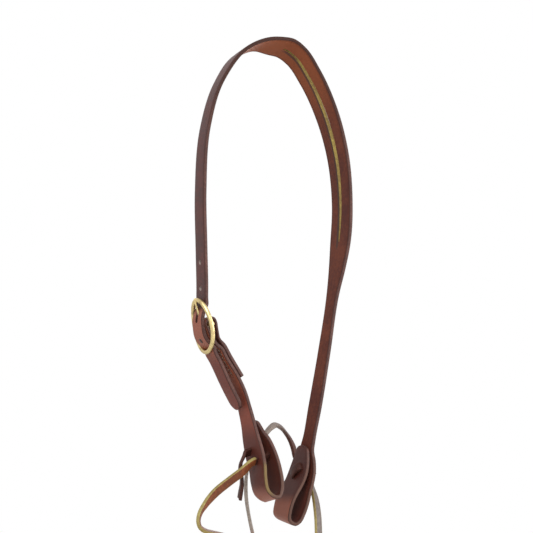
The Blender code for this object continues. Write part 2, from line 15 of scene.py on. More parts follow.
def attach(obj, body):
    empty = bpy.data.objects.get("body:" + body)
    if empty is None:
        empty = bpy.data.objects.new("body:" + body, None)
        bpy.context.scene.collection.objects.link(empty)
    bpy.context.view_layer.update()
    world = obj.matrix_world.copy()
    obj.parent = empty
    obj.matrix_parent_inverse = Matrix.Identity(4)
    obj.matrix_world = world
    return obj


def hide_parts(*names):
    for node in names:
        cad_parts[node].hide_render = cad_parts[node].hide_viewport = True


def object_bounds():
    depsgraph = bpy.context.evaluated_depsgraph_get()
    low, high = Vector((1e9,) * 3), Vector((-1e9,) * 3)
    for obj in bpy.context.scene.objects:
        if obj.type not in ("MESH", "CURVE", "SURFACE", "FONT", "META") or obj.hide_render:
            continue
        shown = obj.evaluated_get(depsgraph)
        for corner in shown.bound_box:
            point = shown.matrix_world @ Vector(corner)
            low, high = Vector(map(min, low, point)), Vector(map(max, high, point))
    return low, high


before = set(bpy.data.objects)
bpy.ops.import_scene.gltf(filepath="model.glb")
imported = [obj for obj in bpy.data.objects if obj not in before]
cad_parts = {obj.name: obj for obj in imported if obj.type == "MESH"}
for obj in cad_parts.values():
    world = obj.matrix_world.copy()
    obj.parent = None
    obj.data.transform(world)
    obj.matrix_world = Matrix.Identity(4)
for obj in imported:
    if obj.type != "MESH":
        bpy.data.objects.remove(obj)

bl_info = {
    "name": "Western Headstall",
    "version": (1, 0, 0),
    "blender": (4, 5, 0),
    "location": "View3D > Sidebar > Headstall",
    "description": "Dresses a split-ear headstall in leather, brass, lace and thread",
    "category": "Add Mesh",
}

CAD_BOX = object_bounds()
MM = 0.001

# Leather
LEATHER = 0.0036
TURN_LEATHER = 0.0022
EDGE_ROUNDING = 0.0009
STRAP_WIDTH = 0.019
CLEARANCE = 0.0003
LAYER_GAP = 0.0007

# Lie of the headstall
HEAD_WIDTH = 0.157
BAR_REACH = 0.0812
BUCKLE_DROP = 0.2897
BUCKLE_SLANT = math.radians(8.4)
BUCKLE_TWIST = math.radians(5)
OFF_REACH = 0.0366
OFF_DROP = 0.395
OFF_SWAY = 0.012
CROWN_FLAT = 0.013

# Ear part
EAR_WIDTH = 0.038
SLIT_WIDTH = 0.0056
SLIT_START = 0.002
SLIT_DROP = 0.199
SLIT_END_SHARE = 0.25
SLIT_FULLNESS = 0.6
SLIT_CUT = 4 * LEATHER
EAR_ROLL = math.radians(8)
HEAD_MIDDLE = Vector((0, 0, -0.15))

# Cart buckle
BUCKLE_HEIGHT = 0.0535
BUCKLE_WIDTH = 0.037
BUCKLE_WIRE = 0.0036
BUCKLE_BOW = 0.0016
BAR_DIAMETER = 0.0034
BAR_SET_BACK = 0.0018
BUCKLE_TIP = math.radians(-4.5)
RING_SWELL_SHARE = 0.07
TONGUE_WIRE = 0.0024
TONGUE_EYE_DEGREES = range(210, -11, -20)

# Billet, its holes numbered up from the one that the tongue stands in
BILLET_TIP = 0.010
BILLET_TWIST = math.radians(3)
BILLET_TWIST_START_SHARE = 0.25
HOLE_NUMBERS = range(-1, 3)
HOLE_PITCH = 0.0254
HOLE_DIAMETER = 0.0046
HOLE_LENGTH = 1.1 * HOLE_DIAMETER
HOLE_LIFT = 0.0028
TONGUE_HOLE_LENGTH = 0.0125
TONGUE_HOLE_RISE = 0.0091

# Near cheek strap
CHEEK_LENGTH = 0.0833
CHEEK_FALL = 0.0186
TAIL_STAND = 0.0069
CHEEK_TWIST = math.radians(10)
CHEEK_SWAY = 0.0059
SWAY_POWER = 1.5
TURN_BULGE = 0.0079
TURN_SLOT_LENGTH = 0.020
TURN_SLOT_WIDTH = 0.0046
TURN_SLOT_DEPTH = 3 * TURN_BULGE

# Bit ends
BIT_END_WIDTH = 0.0295
BIT_END_LENGTH = 0.082
EYE_WIDTH = 0.020
RETURN_TIP = 0.006
NEAR_END_SLANT = math.radians(19.2)
NEAR_END_SWAY = math.radians(-8)
NEAR_END_SKEW = math.radians(9)
OFF_END_SLANT = math.radians(-9.1)
OFF_END_SWAY = math.radians(9)
OFF_END_TWIST = math.radians(6)
OFF_LEG_TWIST = math.radians(8)
OFF_TWIST_START_SHARE = 0.62
OFF_TWIST_END_SHARE = 0.90
SKEW_START_SHARE = 0.55

# Laces and their slots
LACE_WIDTH = 0.0085
LACE = 0.003
SLOT_PLAY = 0.0008
SLOT_PITCH = 0.013
SLOT_TURN = math.radians(40)
TIE_STAND = 0.0006
TIE_LIFT = 0.0009
TIE_CORNER_SHARE = 0.3

# Stitches: their facets, how much of one shows, how flat its thread is and how far out it lies
STITCH_SIDES = 8
STITCH_RINGS = 6
STITCH_SHOWN_SHARE = 0.8
STITCH_FLAT_SHARE = 0.8
STITCH_LIFT_SHARE = 0.15

# Fineness of the meshes, and the angles in degrees past which an edge stays sharp
STATION_STEP = 0.0035
RING_STEPS = 96
WIRE_SIDES = 20
PUNCH_SIDES = 24
FLOOR_SIDES = 96
STRAP_SHARP = 42
LACE_SHARP = 50
BRASS_SHARP = 40
# A round end starts at this angle in degrees, so that its first row has some width
TIP_DEGREES = 14

# Sections: the most that an edge's rounding takes, and how far the flats swell
MOST_ROUNDING_SHARE = 0.35
STRAP_SWELL = 0.12 * MM
LACE_ROUNDING = 0.5 * MM
LACE_SWELL = 0.1 * MM

# The ways from the middle of a section to its corners, in turn
CORNERS = ((1, 1), (-1, 1), (-1, -1), (1, -1))

CUT_OVERRUN = 0.006
# Points that lie nearer than this to a cutter's middle stay there when it is drawn out
MIDDLE_REACH = 0.001 * MM
ACROSS = Vector((0, 1, 0))

# Parts of a strap's or a lace's surface, in the order of its material slots
GRAIN, FLESH, EDGE, RAW, PUNCHED = range(5)

# Markings in leather: the mottles' sizes, the creases' length and their count across, what
# share of the tone and of the relief each makes, and what their unevenness does
BROAD_MOTTLE = 28 * MM
FINE_MOTTLE = 3.2 * MM
CREASE_LENGTH = 14 * MM
CREASES_ACROSS = 14.0
BROAD_SHARE, FINE_SHARE, CREASE_SHARE = 0.3375, 0.4125, 0.25
PORE_RELIEF, FINE_RELIEF, CREASE_RELIEF = 0.5, 1.0, 0.6
MOTTLE_RANGE = (0.38, 0.62)
ROUGHNESS_SPREAD = 0.10
RELIEF_STRENGTH = 0.3

# Brass: its patches of bloom, from clean to all dull, and the skin of the casting
BLOOM_PATCH = 6 * MM
BLOOM_RANGE = (0.42, 0.72)
BLOOM_ROUGHNESS = (0.34, 0.48)
CAST_SKIN = 0.7 * MM
SKIN_RELIEF = 0.1 * MM

# Thread: the length of its lay and how far its strands stand out
THREAD_LAY = 1.6 * MM
STRAND_RELIEF = 0.1 * MM

# Zones of a finish, each as what it follows and the values where it starts and where it is full.
# Height and reach are a spot's Z and X in metres. Hang is its height, let down on the near side.
# Side is its way from the middle of the strap, as a share of the width, and inset the same on
# both sides.
HANG_SLOPE = 0.21
GRAIN_RIM = ("inset", 0.36, 0.47)
FLESH_RIM = ("inset", 0.38, 0.48)
BEVEL = ("inset", 0.4985, 0.4935)
LIP_INNER = ("side", 0.035, 0.05)
LIP_OUTER = ("side", 0.16, 0.12)
LIP_FOOT = ("height", -0.206, -0.200)
OFF_HALF = ("reach", 0.0, 0.01)
UNDER_CROWN = ("height", -0.10, -0.01)
CROWN_EDGE = ("height", -0.16, -0.03)
WORN_AND_LIT = ("height", -0.27, -0.30)
WORN = ("height", -0.340, -0.362)
TIED = ("height", -0.375, -0.40)
OFF_END_SHADE = ("height", -0.385, -0.415)
OFF_END_SHADE_REACH = ("reach", 0.0, 0.02)
BUCKLE_TOP = ("height", -0.270, -0.280)
BUCKLE_FOOT = ("height", -0.330, -0.306)
NEAR_HALF = ("reach", 0.0, -0.01)
LIT_END_BOTTOM = ("hang", -0.443, -0.458)
INSIDE_ENDS = ("height", -0.36, -0.42)
BIT_END_EDGE_HIGHLIGHT = ("height", -0.395, -0.445)
NEAR_EDGE_HIGHLIGHT_TOP = ("height", -0.415, -0.423)
NEAR_EDGE_HIGHLIGHT_FOOT = ("height", -0.450, -0.443)
NEAR_EDGE_HIGHLIGHT_REACH = ("reach", -0.020, -0.026)
LACE_END = ("height", -0.475, -0.50)
LACE_ARC = ("height", -0.42, -0.39)
UNDER_STRAP = ("reach", 0.002, 0.026)

# Crown strap as (x, y, z, widen): shares of the head's width, of the off side's sway, of the
# drop to the buckle or to the off bit end, and of the change from strap width to ear width
NEAR_LEG_SHARES = (
    (-0.535, 0.0, 0.888, 0.0), (-0.543, 0.0, 0.748, 0.0), (-0.552, 0.0, 0.558, 0.0),
    (-0.524, 0.0, 0.334, 0.0), (-0.432, 0.0, 0.168, 0.12), (-0.276, 0.0, 0.049, 0.70),
    (-0.127, 0.0, 0.0085, 1.0),
)
OFF_LEG_SHARES = (
    (0.115, 0.0, 0.0165, 1.0), (0.217, 0.0, 0.0678, 1.0), (0.338, 0.0, 0.1615, 1.0),
    (0.417, 0.0, 0.2704, 1.0), (0.446, 0.0, 0.397, 1.0), (0.430, 0.04, 0.511, 0.98),
    (0.408, 0.10, 0.574, 0.60), (0.379, 0.17, 0.6375, 0.14), (0.319, 0.375, 0.789, 0.0),
    (0.266, 0.79, 0.9286, 0.0),
)

# How far each row of the ear part is rolled, from the crown down, as shares of the most
ROLL_SHARES = (0.75, 1.0, 0.95, 0.75, 0.45, 0.15)

# Billet through the buckle as (along, drop): shares of half the buckle's height and of the
# way from over the bar to behind the rails
BILLET_OVER_SHARES = (
    (0.90, 1.15), (0.77, 0.82), (0.61, 0.37), (0.40, 0.06), (0.0, 0.0), (-0.22, 0.05),
    (-0.42, 0.27), (-0.60, 0.58), (-0.79, 0.92), (-0.98, 0.97),
)
# Billet's tail as (along, fall): shares of the cheek's length and of its fall to the horse
BILLET_TAIL_SHARES = (
    (0.30, 0.0), (0.42, 0.20), (0.69, 0.58), (0.78, 0.715), (0.88, 0.88), (1.0, 1.04),
)
# How far each station of the tail stands off the cheek, as shares of the most it does
STAND_SHARES = (0.0, 0.0, 0.40, 0.44, 0.84, 0.83, 0.66, 0.397)
# Cheek over the bar as (along, out): shares of the turn's level there
OVER_SHARES = ((0.62, 0.79), (0, 1))
# How many of the cheek's stations lie below its turn, and how far down them the turned end goes
CHEEK_STATIONS = 6
RETURN_STATIONS = 3
# Turn round the bar as (along, behind): shares of the turn's bulge
TURN_SHARES = (
    (-0.43, -0.28), (-0.75, 0.08), (-0.81, 0.46), (-0.66, 0.80), (-0.23, 0.99), (0.44, 1.01),
    (1.20, 1.025), (1.73, 1.06),
)

# Tongue's shank as (along, climb): shares of half the buckle's height and of its rise
SHANK_SHARES = ((0.30, 0.22), (0.65, 0.66), (0.94, 1.0), (1.02, 0.99))

# Bit ends as (along, out, widen) down the outer layer, then (along, gap, widen) up the inner
# one: shares of the bit end's length, of the eye's width and of the change to the end's width
NEAR_OUTER_SHARES = (
    (0.0, 0.0, 0.0), (0.21, 0.13, 0.30), (0.366, 0.26, 0.68), (0.557, 0.39, 1.0),
    (0.70, 0.53, 1.0), (0.86, 0.78, 1.0), (0.975, 0.86, 1.0), (1.05, 0.70, 1.0),
    (1.08, 0.46, 1.0),
)
NEAR_INNER_SHARES = (
    (1.04, -0.38, 1.0), (0.955, -0.175, 1.0), (0.81, -0.02, 1.0), (0.565, 0.05, 1.0),
    (0.44, 0.02, 0.80), (0.34, -0.07, 0.45), (0.25, -0.09, 0.10),
)
OFF_OUTER_SHARES = (
    (0.0, 0.0, 0.0), (0.13, 0.01, 0.28), (0.24, 0.145, 0.70), (0.36, 0.23, 1.0),
    (0.47, 0.26, 1.0), (0.60, 0.23, 1.0), (0.75, 0.21, 1.0), (0.88, 0.12, 1.0),
    (0.96, 0.0, 1.0), (1.0, -0.22, 1.0),
)
OFF_INNER_SHARES = (
    (0.955, 0.40, 1.0), (0.87, 0.455, 1.0), (0.76, 0.43, 1.0), (0.66, 0.32, 1.0),
    (0.534, 0.12, 1.0), (0.40, 0.005, 1.0), (0.27, -0.02, 0.65), (0.16, 0.0, 0.10),
)
NEAR_TIED_STATION = 3
OFF_TIED_STATION = 5

# Free ends of the laces, given one by one: places and the ways the width points
NEAR_LONG_TAIL = (
    ((-0.0501, -0.0172, -0.4266), (-0.70, -0.36, 0.61)),
    ((-0.0627, -0.0165, -0.4353), (-0.70, -0.36, 0.61)),
    ((-0.0763, -0.0160, -0.4455), (-0.72, -0.40, 0.57)),
    ((-0.0855, -0.0150, -0.4558), (-0.76, -0.63, 0.16)),
    ((-0.0907, -0.0145, -0.4644), (-0.63, -0.77, -0.08)),
    ((-0.0916, -0.0140, -0.4706), (-0.52, -0.85, -0.14)),
    ((-0.0898, -0.0140, -0.4758), (-0.43, -0.89, -0.16)),
    ((-0.0846, -0.0140, -0.4792), (-0.43, -0.89, -0.16)),
    ((-0.0771, -0.0140, -0.4812), (-0.43, -0.89, -0.16)),
    ((-0.0680, -0.0140, -0.4834), (-0.43, -0.89, -0.16)),
    ((-0.0580, -0.0140, -0.4872), (-0.43, -0.89, -0.16)),
    ((-0.0480, -0.0140, -0.4940), (-0.43, -0.89, -0.16)),
)
NEAR_SHORT_TAIL = (
    ((-0.0440, -0.0080, -0.4131), (-0.20, -0.80, 0.50)),
    ((-0.0469, -0.0085, -0.4187), (-0.30, -0.92, 0.15)),
    ((-0.0470, -0.0075, -0.4252), (-0.30, -0.94, -0.10)),
    ((-0.0446, -0.0055, -0.4316), (-0.29, -0.94, -0.16)),
    ((-0.0440, -0.0045, -0.4382), (-0.27, -0.95, -0.16)),
    ((-0.0449, -0.0040, -0.4450), (-0.20, -0.97, -0.16)),
    ((-0.0458, -0.0032, -0.4525), (-0.20, -0.97, -0.16)),
)
OFF_TAIL = (
    ((0.0434, 0.0226, -0.4383), (0.40, 0.66, 0.45)),
    ((0.0460, 0.0226, -0.4446), (0.64, 0.66, 0.20)),
    ((0.0484, 0.0224, -0.4524), (0.82, 0.54, 0.06)),
    ((0.0502, 0.0222, -0.4622), (0.90, 0.43, 0.04)),
    ((0.0512, 0.0220, -0.4719), (0.92, 0.39, 0.03)),
    ((0.0517, 0.0220, -0.4844), (0.93, 0.37, 0.03)),
    ((0.0520, 0.0220, -0.5084), (0.93, 0.37, 0.03)),
    ((0.0512, 0.0220, -0.5322), (0.93, 0.37, 0.03)),
    ((0.0495, 0.0220, -0.5558), (0.93, 0.37, 0.03)),
)
OFF_OVER_TAIL = (
    ((0.0434, 0.0175, -0.4240), (0.20, 0.15, 0.95)),
    ((0.0440, 0.0245, -0.4215), (0.10, -0.20, 0.97)),
    ((0.0428, 0.0320, -0.4195), (0.10, -0.10, 0.97)),
    ((0.0390, 0.0370, -0.4170), (0.30, 0.25, 0.90)),
    ((0.0345, 0.0375, -0.4115), (0.62, 0.60, 0.40)),
    ((0.0320, 0.0365, -0.4040), (0.72, 0.66, 0.22)),
    ((0.0280, 0.0355, -0.3965), (0.62, 0.76, 0.20)),
    ((0.0212, 0.0330, -0.3888), (0.48, 0.86, 0.20)),
    ((0.0141, 0.0300, -0.3833), (0.40, 0.86, 0.28)),
    ((0.0076, 0.0280, -0.3814), (0.38, 0.85, 0.32)),
    ((0.0005, 0.0250, -0.3845), (0.34, 0.86, 0.34)),
    ((-0.0060, 0.0235, -0.3905), (0.30, 0.88, 0.30)),
    ((-0.0160, 0.0220, -0.4040), (0.43, 0.89, 0.16)),
    ((-0.0240, 0.0210, -0.4170), (0.46, 0.87, 0.16)),
    ((-0.0278, 0.0200, -0.4310), (0.49, 0.86, 0.14)),
    ((-0.0283, 0.0200, -0.4429), (0.50, 0.86, 0.14)),
    ((-0.0275, 0.0200, -0.4542), (0.48, 0.87, 0.14)),
    ((-0.0256, 0.0200, -0.4651), (0.43, 0.89, 0.16)),
    ((-0.0235, 0.0200, -0.4749), (0.43, 0.89, 0.16)),
    ((-0.0211, 0.0200, -0.4844), (0.43, 0.89, 0.16)),
    ((-0.0169, 0.0200, -0.4994), (0.43, 0.89, 0.16)),
    ((-0.0139, 0.0200, -0.5154), (0.43, 0.89, 0.16)),
)


def linear(code):
    """An sRGB hex code as a linear colour with its alpha."""
    shares = [int(code[i:i + 2], 16) / 255 for i in (1, 3, 5)]
    curve = [c / 12.92 if c <= 0.04045 else ((c + 0.055) / 1.055) ** 2.4 for c in shares]
    return (*curve, 1.0)


def add(tree, kind, inputs=None, **settings):
    """Adds a node with its settings. Each input is a value or a socket to link from. A Mix node
    takes its share as input 0 and its colours as 6 and 7, and a Map Range node its value as 0,
    the range that it reads as 1 and 2 and the range that it gives as 3 and 4."""
    node = tree.nodes.new(kind)
    for name, value in settings.items():
        setattr(node, name, value)
    for key, value in (inputs or {}).items():
        if isinstance(value, bpy.types.NodeSocket):
            tree.links.new(value, node.inputs[key])
        else:
            node.inputs[key].default_value = value
    return node


def blank(name):
    """A new material with an empty tree but for its output and shader."""
    made = bpy.data.materials.new(name)
    made.use_nodes = True
    tree = made.node_tree
    tree.nodes.clear()
    shader = add(tree, "ShaderNodeBsdfPrincipled")
    add(tree, "ShaderNodeOutputMaterial", {"Surface": shader.outputs[0]})
    return made, tree, shader


def weighed(tree, *parts):
    """The sum of sockets, each times its weight."""
    total = 0.0
    for socket, weight in parts:
        inputs = {0: socket, 1: weight, 2: total}
        total = add(tree, "ShaderNodeMath", inputs, operation="MULTIPLY_ADD").outputs[0]
    return total


def stained(tree, place, lie, tone, stains):
    """Lays stains over a tone. Each is a colour, its strength and the zones that it needs."""
    at = add(tree, "ShaderNodeSeparateXYZ", {0: place}).outputs
    side = add(tree, "ShaderNodeSeparateXYZ", {0: lie}).outputs[1]
    follows = {
        "reach": at[0], "height": at[2], "side": side,
        "inset": add(tree, "ShaderNodeMath", {0: side}, operation="ABSOLUTE").outputs[0],
        "hang": weighed(tree, (at[0], HANG_SLOPE), (at[2], 1.0)),
    }
    for code, strength, *zones in stains:
        share = strength
        for what, start, full in zones:
            inputs = {0: follows[what], 1: start, 2: full}
            zone = add(tree, "ShaderNodeMapRange", inputs, interpolation_type="SMOOTHSTEP")
            inputs = {0: share, 1: zone.outputs[0]}
            share = add(tree, "ShaderNodeMath", inputs, operation="MULTIPLY").outputs[0]
        inputs = {0: share, 6: tone, 7: linear(code)}
        tone = add(tree, "ShaderNodeMix", inputs, data_type="RGBA").outputs[2]
    return tone


def leather(name, light, dark, rough, specular, pore, raised, stains=()):
    """Leather with a mottle of two tones, lengthwise creases and pores. The mottle is what is
    left of the hide's own markings under the dye, and the creases come from the strap's pull."""
    made, tree, shader = blank(name)
    place = add(tree, "ShaderNodeTexCoord").outputs["Object"]
    lie = add(tree, "ShaderNodeUVMap", uv_map="lie").outputs[0]
    drawn = add(tree, "ShaderNodeMapping", {0: lie, 3: (1 / CREASE_LENGTH, CREASES_ACROSS, 1.0)})
    broad, fine, creases = [
        add(tree, "ShaderNodeTexNoise", inputs).outputs["Fac"] for inputs in (
            {"Vector": place, "Scale": 1 / BROAD_MOTTLE, "Detail": 2.0, "Roughness": 0.5},
            {"Vector": place, "Scale": 1 / FINE_MOTTLE, "Detail": 5.0, "Roughness": 0.62},
            {"Vector": drawn.outputs[0], "Detail": 3.0},
        )
    ]
    mottle = weighed(tree, (broad, BROAD_SHARE), (fine, FINE_SHARE), (creases, CREASE_SHARE))
    inputs = {0: mottle, 1: MOTTLE_RANGE[0], 2: MOTTLE_RANGE[1]}
    share = add(tree, "ShaderNodeMapRange", inputs, interpolation_type="SMOOTHSTEP").outputs[0]
    inputs = {0: share, 6: linear(dark), 7: linear(light)}
    tone = add(tree, "ShaderNodeMix", inputs, data_type="RGBA").outputs[2]
    if stains:
        tone = stained(tree, place, lie, tone, stains)
    tree.links.new(tone, shader.inputs["Base Color"])
    inputs = {0: share, 1: ROUGHNESS_SPREAD, 2: rough}
    dull = add(tree, "ShaderNodeMath", inputs, operation="MULTIPLY_ADD").outputs[0]
    tree.links.new(dull, shader.inputs["Roughness"])
    shader.inputs["Specular IOR Level"].default_value = specular
    inputs = {"Vector": place, "Scale": 1 / pore}
    pores = add(tree, "ShaderNodeTexVoronoi", inputs, feature="SMOOTH_F1").outputs["Distance"]
    height = weighed(tree, (pores, PORE_RELIEF), (fine, FINE_RELIEF), (creases, CREASE_RELIEF))
    inputs = {"Strength": RELIEF_STRENGTH, "Distance": raised, "Height": height}
    bump = add(tree, "ShaderNodeBump", inputs)
    tree.links.new(bump.outputs[0], shader.inputs["Normal"])
    return made


def harness_grain(name, tones, wear_and_light_tone):
    """Grain side of harness leather: vegetable tanned, dyed through, oiled and burnished. It is
    smooth, a little darker along the bevelled edges, with a soft sheen."""
    stains = (
        (tones.rim, 0.55, GRAIN_RIM),
        # The cheek and the bit ends have been handled and oiled most, and went redder. On the near
        # cheek this band is paler instead, painted light where the billet's tail casts its shadow
        (wear_and_light_tone, 0.75, WORN_AND_LIT),
        (tones.grain_worn, 0.8, WORN),
        (tones.grain_tied, 0.85, TIED),
        # Painted shade over the off bit end
        (tones.grain_off_end_shade, 0.75, OFF_END_SHADE, OFF_END_SHADE_REACH),
        # The grain is paler in the buckle, and painted light from below lightens the bottom of the
        # bit ends, of which the off one hangs lower
        (tones.grain_pale_and_lit, 0.7, BUCKLE_TOP, BUCKLE_FOOT, NEAR_HALF),
        (tones.grain_pale_and_lit, 0.7, LIT_END_BOTTOM),
    )
    return leather(
        name, tones.grain_light, tones.grain_dark, rough=0.48, specular=0.26, pore=0.9 * MM,
        raised=0.14 * MM, stains=stains)


def harness_flesh(tones):
    """Flesh side of harness leather, pasted and slicked down: more open and warmer."""
    stains = (
        # Painted light on the flesh side under the crown
        (tones.flesh_crown_lit, 1.0, UNDER_CROWN),
        # Painted shade on the flesh side inside the bit ends
        (tones.flesh_shade, 0.6, INSIDE_ENDS),
        (tones.rim, 0.5, FLESH_RIM),
        # The far lip of the ear slit is rolled over a little, and painted shade darkens it
        (tones.lip, 0.75, LIP_FOOT, OFF_HALF, LIP_INNER, LIP_OUTER),
    )
    return leather(
        "slicked_harness_flesh", tones.flesh_light, tones.flesh_dark, rough=0.62, specular=0.10,
        pore=1.1 * MM, raised=0.08 * MM, stains=stains)


def harness_edge(tones):
    """Cut edge of harness leather, bevelled, dyed and rubbed with wax: dark over the crown, paler
    down the straps, and with a painted highlight round the bit ends."""
    stains = (
        (tones.edge_crown, 0.85, CROWN_EDGE),
        # Painted highlight on the edges round the bit ends
        (tones.edge_highlight, 0.85, BIT_END_EDGE_HIGHLIGHT),
        # Painted highlight along the near edge of the near bit end, in the pale colour of a raw cut
        (tones.raw_cut_and_highlight, 0.38, NEAR_EDGE_HIGHLIGHT_TOP, NEAR_EDGE_HIGHLIGHT_FOOT, NEAR_EDGE_HIGHLIGHT_REACH),
        # The bevels on both sides of the cut stay dark
        (tones.rim, 0.75, BEVEL),
    )
    return leather(
        "waxed_harness_edge", tones.edge_light, tones.edge_dark, rough=0.5, specular=0.20,
        pore=0.7 * MM, raised=0.12 * MM, stains=stains)


def raw_hide(name, light, dark):
    """A cut that the dye has not reached, so the pale fibres of the hide show."""
    return leather(
        name, light, dark, rough=0.62, specular=0.2, pore=0.7 * MM, raised=0.1 * MM)


def latigo(name, light, dark, rough, stains=()):
    """Latigo leather: stuffed with oil and wax, so it is soft, dense and slightly greasy."""
    return leather(
        name, light, dark, rough, specular=0.2, pore=0.8 * MM, raised=0.12 * MM, stains=stains)


def old_latigo(tones):
    """A lace that has gone dull and grey, redder towards its end, with painted shade towards the
    top of its arc and where it runs behind the off bit end."""
    stains = (
        (tones.lace_red, 1.0, LACE_END),
        # Painted shade towards the top of the arc and where the lace runs behind the off bit end
        (tones.lace_shade, 0.30, LACE_ARC),
        (tones.lace_shade, 1.0, UNDER_STRAP),
    )
    return latigo(
        "latigo_dull", tones.lace_dull, tones.lace_dull_dark, rough=0.55, stains=stains)


def cast_brass(tones):
    """Cast brass, tumbled and buffed: a warm metal with soft highlights and a dull bloom."""
    made, tree, shader = blank("buffed_cast_brass")
    place = add(tree, "ShaderNodeTexCoord").outputs["Object"]
    patches, skin = [
        add(tree, "ShaderNodeTexNoise", inputs).outputs["Fac"] for inputs in (
            {"Vector": place, "Scale": 1 / BLOOM_PATCH, "Detail": 4.0, "Roughness": 0.55},
            {"Vector": place, "Scale": 1 / CAST_SKIN, "Detail": 2.0, "Roughness": 0.55},
        )
    ]
    inputs = {0: patches, 1: BLOOM_RANGE[0], 2: BLOOM_RANGE[1]}
    bloom = add(tree, "ShaderNodeMapRange", inputs, interpolation_type="SMOOTHSTEP").outputs[0]
    inputs = {0: bloom, 6: linear(tones.brass), 7: linear(tones.brass_dull)}
    tone = add(tree, "ShaderNodeMix", inputs, data_type="RGBA").outputs[2]
    tree.links.new(tone, shader.inputs["Base Color"])
    shader.inputs["Metallic"].default_value = 1.0
    inputs = {0: bloom, 3: BLOOM_ROUGHNESS[0], 4: BLOOM_ROUGHNESS[1]}
    dull = add(tree, "ShaderNodeMapRange", inputs, interpolation_type="SMOOTHSTEP").outputs[0]
    tree.links.new(dull, shader.inputs["Roughness"])
    bump = add(tree, "ShaderNodeBump", {"Strength": 0.12, "Distance": SKIN_RELIEF, "Height": skin})
    tree.links.new(bump.outputs[0], shader.inputs["Normal"])
    return made


def waxed_thread(tones):
    """Linen thread drawn through wax: a fine rope lay under a soft sheen."""
    made, tree, shader = blank("waxed_linen_thread")
    place = add(tree, "ShaderNodeTexCoord").outputs["Object"]
    inputs = {"Vector": place, "Scale": 1 / THREAD_LAY, "Distortion": 0.6}
    lay = add(tree, "ShaderNodeTexWave", inputs, bands_direction="DIAGONAL").outputs["Fac"]
    inputs = {0: lay, 6: linear(tones.thread_dark), 7: linear(tones.thread)}
    tone = add(tree, "ShaderNodeMix", inputs, data_type="RGBA").outputs[2]
    tree.links.new(tone, shader.inputs["Base Color"])
    shader.inputs["Roughness"].default_value = 0.5
    bump = add(tree, "ShaderNodeBump", {"Strength": 0.4, "Distance": STRAND_RELIEF, "Height": lay})
    tree.links.new(bump.outputs[0], shader.inputs["Normal"])
    return made


def white_paper(code):
    """A matt sheet of studio paper."""
    made, _, shader = blank("white_paper")
    shader.inputs["Base Color"].default_value = linear(code)
    shader.inputs["Roughness"].default_value = 0.9
    return made


def axes_at(place, first, second):
    """A place whose local X and Y run the given ways."""
    turn = Matrix((first, second, first.cross(second))).transposed()
    return Matrix.Translation(place) @ turn.to_4x4()


class Frame:
    """A place on the headstall. Along runs down the strap, across over its width and out away
    from the horse. The side is 1 for the off side and -1 for the near side."""

    def __init__(self, origin, slant, sway, twist, side):
        self.origin = Vector(origin)
        level = math.cos(sway)
        self.along = Vector((math.sin(slant) * level, math.sin(sway), -math.cos(slant) * level))
        across = Vector((-math.sin(twist), math.cos(twist), 0))
        self.across = (across - self.along * across.dot(self.along)).normalized()
        self.out = self.along.cross(self.across) * side

    def point(self, along, out, across=0.0):
        return self.origin + self.along * along + self.out * out + self.across * across

    def matrix(self):
        """Local X runs across and Y along."""
        return axes_at(self.origin, self.across, self.along)


def station(place, width, thickness, across=ACROSS):
    """A row of numbers: place, width, thickness and the way the width points."""
    return (*place, width, thickness, *across)


def distance(a, b):
    """The distance between the places that two rows start with."""
    return math.dist(a[:3], b[:3])


def slope(before, row, after):
    """The rate of change at a row, from a parabola through it and its two neighbours."""
    if before is None:
        return [(c - b) / distance(row, after) for b, c in zip(row, after)]
    if after is None:
        return [(b - a) / distance(before, row) for a, b in zip(before, row)]
    low, high = distance(before, row), distance(row, after)
    return [
        ((c - b) * low / high + (b - a) * high / low) / (low + high)
        for a, b, c in zip(before, row, after)
    ]


def smooth(rows, step=STATION_STEP, least=3):
    """A smooth run of rows through the given ones, about a step apart."""
    rows = [tuple(row) for row in rows]
    beside = [None] + rows + [None]
    slopes = [slope(*beside[i:i + 3]) for i in range(len(rows))]
    run = [rows[0]]
    for i in range(len(rows) - 1):
        gap = distance(rows[i], rows[i + 1])
        count = max(least, math.ceil(gap / step))
        for k in range(1, count + 1):
            t = k / count
            start, lead = 2 * t**3 - 3 * t**2 + 1, (t**3 - 2 * t**2 + t) * gap
            end, trail = 3 * t**2 - 2 * t**3, (t**3 - t**2) * gap
            run.append(tuple(
                start * a + lead * m + end * b + trail * n
                for a, m, b, n in zip(rows[i], slopes[i], rows[i + 1], slopes[i + 1])
            ))
    return run


def section(width, thickness, rounding, swell, corner=4, spans=6):
    """A strap's section as (across, out, part), the part being that of the span after it."""
    points = []
    flat = width / 2 - rounding
    for quarter, (x, y) in enumerate(CORNERS):
        for k in range(corner):
            angle = math.radians(90 * (quarter + k / (corner - 1)))
            points.append((
                x * flat + rounding * math.cos(angle),
                y * (thickness / 2 - rounding) + rounding * math.sin(angle),
                EDGE,
            ))
        if quarter in (0, 2):
            part = FLESH if quarter else GRAIN
            points[-1] = (*points[-1][:2], part)
            for k in range(1, spans):
                along = 1 - 2 * k / spans
                out = thickness / 2 + swell * (1 - along**2)
                points.append((x * flat * along, y * out, part))
    return points


def strap_section(width, thickness):
    """A strap's section, whose rounded edges take no more than a share of it."""
    rounding = min(EDGE_ROUNDING, MOST_ROUNDING_SHARE * thickness, MOST_ROUNDING_SHARE * width)
    return section(width, thickness, rounding, STRAP_SWELL)


def lace_section(width, thickness):
    """A lace's section, whose flesh side lies where a strap has its grain side."""
    turned = {GRAIN: FLESH, FLESH: GRAIN, EDGE: EDGE}
    points = section(width, thickness, LACE_ROUNDING, LACE_SWELL, corner=3, spans=4)
    return [(x, y, turned[part]) for x, y, part in points]


